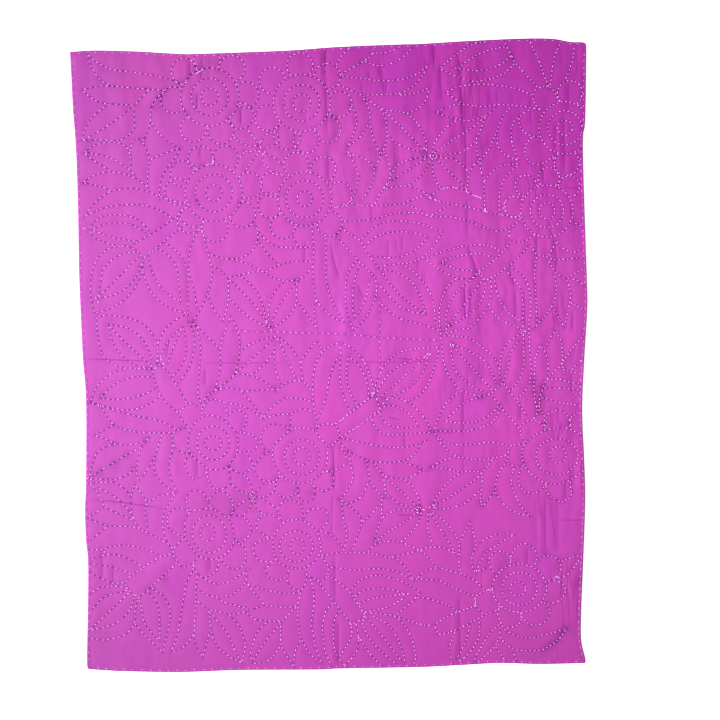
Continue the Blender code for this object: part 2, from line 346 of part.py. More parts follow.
        (238, 452, 229, 466, 0), (245, 452, 254, 466, 1), (254, 466, 262, 480, -2),
        (262, 480, 276, 482, 0), (269, 452, 257, 462, -1), (257, 462, 244, 474, 1),
        (244, 474, 229, 467, 1), (243, 474, 251, 484, 1), (251, 484, 253, 494, 0), (229, 467, 231, 484, 0),
        (231, 484, 240, 491, 0), (240, 491, 253, 495, 0), (231, 484, 220, 489, 1), (220, 489, 210, 483, 2),
        (210, 483, 208, 470, 1), (205, 474, 208, 471, 0), (208, 469, 229, 466, -2),
        (190, 453, 209, 469, -1), (191, 428, 190, 453, -2), (190, 454, 185, 464, -1),
        (185, 464, 191, 477, -1), (191, 477, 199, 478, -1), (291, 415, 302, 409, 1),
        (302, 409, 313, 412, 1), (291, 415, 290, 430, 0), (290, 429, 276, 424, -1),
        (276, 424, 264, 430, -2), (264, 430, 262, 444, -2), (262, 444, 269, 452, -1),
        (290, 430, 275, 444, 0), (275, 444, 273, 457, -1), (273, 457, 281, 475, -1),
        (281, 475, 296, 483, -1), (296, 483, 310, 481, -1), (310, 481, 325, 470, -1),
        (325, 470, 328, 446, -1), (328, 446, 315, 431, 0), (315, 431, 302, 428, -1),
        (302, 428, 290, 430, -1), (317, 420, 317, 428, 0), (317, 427, 330, 424, 1),
        (331, 446, 328, 447, 0), (313, 485, 324, 491, -1), (324, 491, 333, 486, -1),
        (333, 486, 333, 475, -1), (333, 475, 326, 470, 0), (325, 470, 330, 471, 0),
        (297, 483, 298, 493, 0), (298, 493, 300, 498, 0), (300, 498, 308, 502, -1),
        (308, 502, 315, 494, -2), (310, 481, 315, 488, 0), (315, 488, 315, 494, -1),
        (281, 475, 276, 481, 0), (276, 482, 264, 484, 0), (264, 484, 253, 495, 0), (276, 482, 275, 491, 0),
        (275, 491, 266, 497, 0), (266, 497, 253, 497, 0), (275, 491, 286, 498, -1),
        (286, 498, 298, 492, -1), (262, 498, 275, 507, 0), (275, 507, 281, 520, 1),
        (278, 510, 284, 501, 1), (284, 501, 301, 504, 2), (301, 504, 303, 518, 1), (274, 536, 286, 521, 1),
        (286, 521, 303, 520, 1), (274, 536, 274, 553, -1), (274, 553, 281, 564, -1),
        (281, 564, 290, 568, 0), (290, 568, 302, 568, 0), (302, 568, 318, 557, -2),
        (318, 557, 321, 545, -1), (321, 545, 318, 532, 0), (318, 532, 303, 520, -1),
        (304, 518, 311, 509, 1), (311, 509, 326, 510, 1), (326, 510, 328, 521, 1), (328, 521, 319, 531, 1),
        (319, 531, 340, 543, 3), (340, 543, 344, 552, 1), (330, 554, 320, 556, 0), (320, 556, 329, 567, 1),
        (329, 567, 328, 576, 0), (328, 576, 317, 580, 1), (317, 580, 307, 575, 0), (328, 576, 330, 576, 0),
        (306, 567, 307, 577, 0), (307, 577, 301, 591, 1), (290, 568, 287, 578, 0),
        (287, 578, 292, 588, -1), (292, 588, 301, 591, 0), (274, 561, 266, 568, 0),
        (266, 568, 270, 578, -1), (270, 578, 279, 580, 0), (279, 580, 287, 577, 0),
        (274, 536, 258, 542, 0), (258, 542, 254, 551, -2), (254, 551, 259, 560, -1),
        (259, 560, 274, 561, -1), (274, 561, 277, 558, 0), (281, 520, 267, 514, -1),
        (267, 514, 257, 521, -1), (257, 521, 258, 530, -1), (258, 530, 269, 538, 0),
        (253, 496, 238, 505, 0), (238, 505, 231, 515, 0), (253, 498, 250, 508, 0), (250, 508, 243, 516, 0),
        (254, 499, 257, 508, 0), (257, 508, 263, 515, 0), (227, 517, 231, 515, 0), (231, 515, 243, 516, 0),
        (243, 516, 251, 526, 1), (251, 526, 250, 535, 1), (250, 535, 241, 544, 0), (227, 517, 233, 528, 1),
        (233, 528, 235, 539, 0), (235, 539, 241, 545, 0), (185, 537, 185, 521, 0), (185, 521, 192, 511, 1),
        (192, 511, 186, 500, 1), (186, 500, 192, 491, 1), (192, 491, 203, 492, 1), (203, 492, 209, 502, 0),
        (209, 502, 209, 508, 1), (192, 511, 209, 508, 0), (209, 508, 222, 514, 1), (222, 514, 228, 518, 0),
        (209, 500, 215, 493, 0), (215, 493, 226, 493, 2), (226, 493, 233, 503, 1), (233, 503, 231, 515, 1),
        (185, 537, 199, 556, -1), (199, 556, 219, 558, -2), (219, 558, 235, 540, -3),
        (199, 556, 191, 564, 1), (191, 564, 182, 566, 1), (182, 566, 177, 562, 0), (185, 537, 173, 549, 0),
        (194, 563, 193, 571, 0), (194, 563, 198, 574, -1), (198, 574, 204, 578, 0),
        (204, 578, 216, 571, -1), (216, 571, 219, 558, -1), (220, 558, 230, 568, -1),
        (230, 568, 240, 568, -1), (240, 568, 246, 556, -2), (246, 556, 241, 544, -2),
        (191, 511, 180, 508, 0), (180, 508, 168, 515, -2), (168, 515, 169, 528, -1),
        (169, 528, 185, 537, -1), (174, 549, 173, 554, 0), (163, 556, 173, 554, 0),
        (173, 554, 178, 562, 0),
    ],
    "lower sprigs": [
        (204, 578, 217, 584, -1), (217, 584, 234, 579, -1), (234, 579, 250, 569, 0),
        (246, 571, 246, 582, 1), (193, 571, 186, 586, -1), (186, 586, 180, 622, 0),
        (180, 622, 172, 651, 1), (198, 574, 196, 590, 0), (196, 590, 196, 608, 0), (196, 608, 194, 633, 0),
        (194, 633, 172, 651, 4), (194, 633, 203, 657, -2), (203, 657, 211, 628, 0),
        (211, 628, 209, 610, 0), (197, 588, 215, 596, -2), (215, 596, 229, 596, 0),
        (229, 596, 246, 581, -2), (215, 596, 224, 602, 0), (224, 602, 246, 608, 0),
        (246, 608, 248, 610, 0), (197, 600, 209, 610, 0), (209, 610, 222, 626, 0), (222, 626, 232, 643, 1),
        (232, 643, 242, 663, 0), (209, 610, 227, 614, 1), (227, 614, 246, 611, -1),
        (229, 614, 240, 626, 0), (240, 626, 246, 645, 0), (246, 645, 242, 662, 0),
        (211, 630, 219, 648, -1), (219, 648, 242, 663, -1), (247, 583, 265, 605, 0),
        (265, 605, 249, 610, 0), (246, 612, 258, 620, -1), (258, 620, 282, 622, 0),
        (268, 622, 257, 633, -1), (257, 633, 251, 650, 0), (251, 650, 253, 661, -1),
        (282, 622, 266, 640, 0), (266, 640, 253, 661, 0), (281, 624, 281, 646, 0), (281, 646, 270, 660, 0),
        (270, 660, 253, 663, 1), (281, 646, 294, 667, 0), (247, 583, 278, 592, -1),
        (278, 592, 301, 591, -2), (265, 605, 283, 607, 0), (283, 607, 298, 605, -1),
        (297, 606, 282, 622, 0), (301, 591, 298, 605, 0), (298, 605, 298, 622, 0), (298, 622, 301, 639, 0),
        (301, 639, 295, 652, 0), (295, 652, 294, 667, 0), (301, 639, 311, 655, 0), (311, 655, 322, 663, 0),
        (310, 578, 314, 594, 1), (314, 594, 312, 618, 1), (312, 618, 312, 628, 0), (312, 628, 316, 648, 0),
        (316, 648, 322, 663, 0), (317, 579, 330, 597, 0), (334, 602, 325, 614, -1),
        (325, 614, 323, 632, -1), (323, 632, 325, 651, 0), (325, 651, 331, 664, 0),
    ],
}

# Flowers, in chart steps: middle, three ring radii, how far out the petals sit, petal radius, and the
# petals' directions in degrees, anticlockwise from the right.
FLOWERS = [
    (210, 97, 8.5, 18.5, 29, 36, 13, (135, 95, 52, 3, -32, -72, -117, -175)),
    (214, 193, 8, 18.5, 28.5, 36, 13, (111, 71, 12, -37, -88, -131, 178, 148)),
    (302, 103, 8.8, 18, 28.5, 37, 13, (143, 93, 46, -2, -46, -83, -114, -156)),
    (305, 199, 7.5, 18.5, 27, 35, 12.5, (104, 58, 7, -45, -129, -169, 155)),
    (565, 128, 7.5, 17, 26, 35, 12.5, (82, -87)),
    (547, 211, 8, 16.5, 26, 33, 10.5, (130, 87, 48, 173)),
]

# Rings of the other flowers: middle, half width and half height, in chart steps.
RINGS = [
    (213.5, 443, 16.1, 16.7), (213.3, 443, 8.5, 7), (302, 457, 17.5, 17.4), (302.2, 456.2, 8, 8.5),
    (209.5, 534, 17.1, 18.6), (208, 532.5, 7.5, 8), (296.4, 546.3, 16.6, 15.4), (297.6, 546.2, 7, 8),
    (558, 454.5, 8.3, 8), (557, 456.5, 21, 18), (518, 588.5, 7.7, 7), (519.5, 588.5, 17.5, 16.5),
    (519.5, 588, 27, 24),
]

# Two guide lines tacked across the middle of the cloth.
GUIDE_LINES = [Edge(236, 331, 345, 334, 0), Edge(345, 334, 430, 340, -1), Edge(380, 300, 380, 377, 0)]

# Pressed creases, as soft troughs across the loft.
CREASES = [
    Crease(190, 57, 193, 112, 0), Crease(325, 50, 327, 140, 1), Crease(330, 238, 345, 285, -4),
    Crease(463, 206, 472, 250, -3), Crease(463, 262, 464, 322, 1), Crease(512, 262, 516, 312, 2),
    Crease(333, 446, 334, 500, 1), Crease(88, 357, 152, 361, 0), Crease(395, 358, 428, 361, 0),
    Crease(88, 500, 160, 508, 0), Crease(555, 232, 560, 268, -2), Crease(460, 60, 463, 120, 0),
    Crease(556, 505, 557, 560, 0), Crease(424, 620, 425, 662, 0), Crease(336, 590, 339, 655, 1),
]


def chart_to_cloth(x, y):
    """A chart point as a place on the cloth, in metres about the quilt's middle."""
    return Vector(((x - CHART_MIDDLE[0]) * CHART_STEP, (CHART_MIDDLE[1] - y) * CHART_STEP))


def edge_points(edge, pitch):
    """Chart points along one bowed edge, about `pitch` chart steps apart."""
    run_x = edge.x1 - edge.x0
    run_y = edge.y1 - edge.y0
    length = math.hypot(run_x, run_y)
    count = max(1, round(length / pitch))
    points = []
    for i in range(count + 1):
        t = i / count
        bow = edge.bulge * 4 * t * (1 - t) / length
        points.append((edge.x0 + run_x * t + run_y * bow, edge.y0 + run_y * t - run_x * bow))
    return points


def ring_line(ring, pitch):
    """One closed stitched ring."""
    count = max(8, round(math.pi * (ring.across + ring.down) / pitch))
    turns = [math.tau * i / count for i in range(count + 1)]
    return [(ring.x + ring.across * math.cos(turn), ring.y - ring.down * math.sin(turn)) for turn in turns]


def flower_lines(flower, pitch):
    """The rings of a flower and the part of each round petal that lies outside them."""
    radii = (flower.ring1, flower.ring2, flower.ring3)
    lines = [ring_line(Ring(flower.x, flower.y, radius, radius), pitch) for radius in radii]
    for angle in flower.angles:
        out = math.radians(angle)
        middle_x = flower.x + flower.reach * math.cos(out)
        middle_y = flower.y - flower.reach * math.sin(out)
        # half the opening of the petal, where its circle crosses the outer ring
        reach = flower.reach
        opening = (reach ** 2 + flower.petal ** 2 - flower.ring3 ** 2) / (2 * reach * flower.petal)
        half = math.acos(max(-1.0, min(1.0, opening)))
        count = max(4, round((math.tau - 2 * half) * flower.petal / pitch))
        petal = []
        for i in range(count + 1):
            turn = out + math.pi + half + (math.tau - 2 * half) * i / count
            petal.append((middle_x + flower.petal * math.cos(turn), middle_y - flower.petal * math.sin(turn)))
        lines.append(petal)
    return lines


def sewn_lines(pitch):
    """Every line of stitching except the border, in metres on the cloth."""
    steps = pitch / CHART_STEP
    lines = []
    for rows in SPRAYS.values():
        for row in rows:
            lines.append(edge_points(Edge(*row), steps))
    for row in FLOWERS:
        lines += flower_lines(Flower(*row), steps)
    for row in RINGS:
        lines.append(ring_line(Ring(*row), steps))
    for edge in GUIDE_LINES:
        lines.append(edge_points(edge, steps))
    return [[chart_to_cloth(x, y) for x, y in line] for line in lines]


def even_loop(corners, pitch):
    """A closed loop through the corners, rounded a little and evenly spaced."""
    smooth = []
    count = len(corners)
    for i in range(count):
        before, start, end, after = (corners[(i + k) % count] for k in (-1, 0, 1, 2))
        parts = max(1, round((end - start).length / (pitch * 0.25)))
        for k in range(parts):
            t = k / parts
            smooth.append(0.5 * (2 * start + (end - before) * t
                                 + (2 * before - 5 * start + 4 * end - after) * t ** 2
                                 + (3 * start - before - 3 * end + after) * t ** 3))
    lengths = [(smooth[(i + 1) % len(smooth)] - smooth[i]).length for i in range(len(smooth))]
    total = sum(lengths)
    wanted = round(total / pitch)
    loop = []
    walked = 0.0
    for i, length in enumerate(lengths):
        while len(loop) < wanted and walked + length > len(loop) * total / wanted - 1e-9:
            t = max(0.0, (len(loop) * total / wanted - walked) / length)
            loop.append(smooth[i].lerp(smooth[(i + 1) % len(smooth)], t))
        walked += length
    return loop


def inset_loop(loop, distance):
    """The clockwise loop moved inward."""
    inner = []
    for i, point in enumerate(loop):
        along = (loop[(i + 1) % len(loop)] - loop[i - 1]).normalized()
        inner.append(point + Vector((along.y, -along.x)) * distance)
    return inner


def inside_by(point, loop):
    """How far a point lies inside the loop; negative outside."""
    nearest = math.inf
    inside = False
    for i, a in enumerate(loop):
        b = loop[(i + 1) % len(loop)]
        along = b - a
        t = max(0.0, min(1.0, (point - a).dot(along) / along.length_squared))
        nearest = min(nearest, (point - a - along * t).length)
        if (a.y > point.y) != (b.y > point.y) and point.x < a.x + (point.y - a.y) / along.y * along.x:
            inside = not inside
    return nearest if inside else -nearest


class Net:
    """Points and edges on the cloth; points that nearly meet are one."""

    def __init__(self):
        self.points = []
        self.heights = []
        self.edges = []
        self.cells = {}

    def near(self, point, distance):
        cell_x = math.floor(point.x / NET_CELL)
        cell_y = math.floor(point.y / NET_CELL)
        best = None
        for i in range(cell_x - 1, cell_x + 2):
            for j in range(cell_y - 1, cell_y + 2):
                for index in self.cells.get((i, j), []):
                    gap = (self.points[index] - point).length
                    if gap < distance:
                        best = index
                        distance = gap
        return best

    def add(self, point, height, merge):
        found = self.near(point, merge) if merge else None
        if found is not None:
            return found
        self.points.append(point)
        self.heights.append(height)
        cell = (math.floor(point.x / NET_CELL), math.floor(point.y / NET_CELL))
        self.cells.setdefault(cell, []).append(len(self.points) - 1)
        return len(self.points) - 1

    def join(self, indices):
        for a, b in zip(indices, indices[1:]):
            if a != b:
                self.edges.append((a, b))


def build_net():
    """The rim, the sewn lines, the creases and the lofted points between them."""
    rim = even_loop([chart_to_cloth(x, y) for x, y in RIM], RIM_POINT_PITCH)
    low = Vector((min(p.x for p in rim), min(p.y for p in rim)))
    high = Vector((max(p.x for p in rim), max(p.y for p in rim)))
    centre = (low + high) / 2
    rim = [p - centre for p in rim]
    net = Net()
    loops = [
        (rim, HEM_THICKNESS),
        (inset_loop(rim, HEM_ROUND), SEWN_THICKNESS + HEM_LIFT),
        (inset_loop(rim, BORDER_INSET + HEM_ROUND), SEWN_THICKNESS),
    ]
    for loop, height in loops:
        indices = [net.add(p, height, None) for p in loop]
        net.join(indices + indices[:1])
    rim_count = len(rim)
    for line in sewn_lines(SEAM_POINT_PITCH):
        run = []
        for point in line:
            point = point - centre
            if inside_by(point, rim) < BORDER_INSET + HEM_ROUND + SEAM_MERGE:
                net.join(run)
                run = []
                continue
            run.append(net.add(point, SEWN_THICKNESS, SEAM_MERGE))
        net.join(run)
    for crease in CREASES:
        run = []
        for x, y in edge_points(crease, SEAM_POINT_PITCH / CHART_STEP):
            point = chart_to_cloth(x, y) - centre
            if inside_by(point, rim) > BORDER_INSET + HEM_ROUND + SEAM_MERGE:
                run.append(net.add(point, SEWN_THICKNESS + PUFF_RISE - CREASE_DROP, SEAM_MERGE))
        net.join(run)
    row_height = PUFF_POINT_PITCH * math.sqrt(3) / 2
    rows = math.ceil((high.y - low.y) / row_height)
    columns = math.ceil((high.x - low.x) / PUFF_POINT_PITCH)
    sewn = kdtree.KDTree(len(net.points))
    for index, point in enumerate(net.points):
        sewn.insert((point.x, point.y, 0.0), index)
    sewn.balance()
    for j in range(rows):
        for i in range(columns + 1):
            x = low.x - centre.x + (i + 0.5 * (j % 2)) * PUFF_POINT_PITCH
            y = low.y - centre.y + (j + 0.5) * row_height
            point = Vector((x, y))
            if inside_by(point, rim) < BORDER_INSET + HEM_ROUND + PUFF_CLEARANCE:
                continue
            gap = sewn.find((x, y, 0.0))[2]
            if gap < PUFF_CLEARANCE:
                continue
            loft = PUFF_RISE * (1 - math.exp(-(gap / PUFF_REACH) ** 2))
            loft += UNEVEN * math.sin(9.0 * x + 4.0 * y) * math.sin(13.0 * y - 5.0 * x)
            net.add(point, SEWN_THICKNESS + loft, None)
    return net, rim_count


def make_quilt(collection):
    """One closed sheet: the quilted face, a thin rolled rim and a flat underside."""
    net, rim_count = build_net()
    outline = [list(range(rim_count))]
    points, _, faces, origins, _, _ = geometry.delaunay_2d_cdt(
        net.points, net.edges, outline, CDT_INSIDE, CDT_MERGE)
    mesh_maker = bmesh.new()
    verts = []
    for point, came_from in zip(points, origins):
        height = min((net.heights[i] for i in came_from), default=SEWN_THICKNESS)
        verts.append(mesh_maker.verts.new((point.x, point.y, height)))
    for face in faces:
        mesh_maker.faces.new([verts[i] for i in face])
    loose = [v for v in mesh_maker.verts if not v.link_faces]
    bmesh.ops.delete(mesh_maker, geom=loose, context="VERTS")
    bmesh.ops.recalc_face_normals(mesh_maker, faces=mesh_maker.faces)
    if sum(face.normal.z for face in mesh_maker.faces) < 0:
        bmesh.ops.reverse_faces(mesh_maker, faces=mesh_maker.faces)
    rim_edges = [edge for edge in mesh_maker.edges if edge.is_boundary]
    skirt = bmesh.ops.extrude_edge_only(mesh_maker, edges=rim_edges)["geom"]
    low_edges = [item for item in skirt if isinstance(item, bmesh.types.BMEdge) and item.is_boundary]
    for vert in {vert for edge in low_edges for vert in edge.verts}:
        vert.co.z = 0.0
    bmesh.ops.contextual_create(mesh_maker, geom=low_edges)
    bmesh.ops.recalc_face_normals(mesh_maker, faces=mesh_maker.faces)
    mesh = bpy.data.meshes.new("quilt")
    mesh_maker.to_mesh(mesh)
    mesh_maker.free()
    mesh.shade_smooth()
    mesh.materials.append(cloth_material())
    quilt = bpy.data.objects.new("quilt", mesh)
    collection.objects.link(quilt)
    return quilt


def cloth_material():
    material = bpy.data.materials.new("orchid cotton")
    material.use_nodes = True
    shader = material.node_tree.nodes["Principled BSDF"]
    shader.inputs["Base Color"].default_value = CLOTH_COLOUR
    shader.inputs["Roughness"].default_value = CLOTH_ROUGHNESS
    shader.inputs["Metallic"].default_value = 0.0
    shader.inputs["Sheen Weight"].default_value = 0.2
    return material


def main():
    for item in list(bpy.data.objects):
        bpy.data.objects.remove(item, do_unlink=True)
    collection = bpy.data.collections.new("Kantha quilt")
    bpy.context.scene.collection.children.link(collection)
    make_quilt(collection)


main()
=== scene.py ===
import math
import random

import bmesh
import bpy
import numpy as np
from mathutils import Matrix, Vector, noise
from mathutils.bvhtree import BVHTree
from mathutils.kdtree import KDTree


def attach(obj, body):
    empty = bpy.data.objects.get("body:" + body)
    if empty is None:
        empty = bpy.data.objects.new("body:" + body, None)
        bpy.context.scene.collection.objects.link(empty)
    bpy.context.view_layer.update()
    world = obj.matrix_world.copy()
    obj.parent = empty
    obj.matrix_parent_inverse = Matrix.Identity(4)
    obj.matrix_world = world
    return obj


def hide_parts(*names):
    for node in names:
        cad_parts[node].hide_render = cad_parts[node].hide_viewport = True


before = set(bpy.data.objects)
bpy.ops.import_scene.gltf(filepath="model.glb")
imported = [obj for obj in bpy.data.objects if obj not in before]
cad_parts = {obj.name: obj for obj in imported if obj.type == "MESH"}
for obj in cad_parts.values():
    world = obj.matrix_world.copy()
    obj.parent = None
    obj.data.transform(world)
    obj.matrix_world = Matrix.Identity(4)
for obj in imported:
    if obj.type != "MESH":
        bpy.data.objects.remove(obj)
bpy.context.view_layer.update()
print("frame loaded")

chart = {
    "step": 0.0018,             # metres to one chart step
    "middle": (328.61, 355.25), # chart point over the quilt's middle
    "samplePitch": 1.1,         # chart steps between points along a line
    "curveSteps": 24,           # between two points given for a side
}

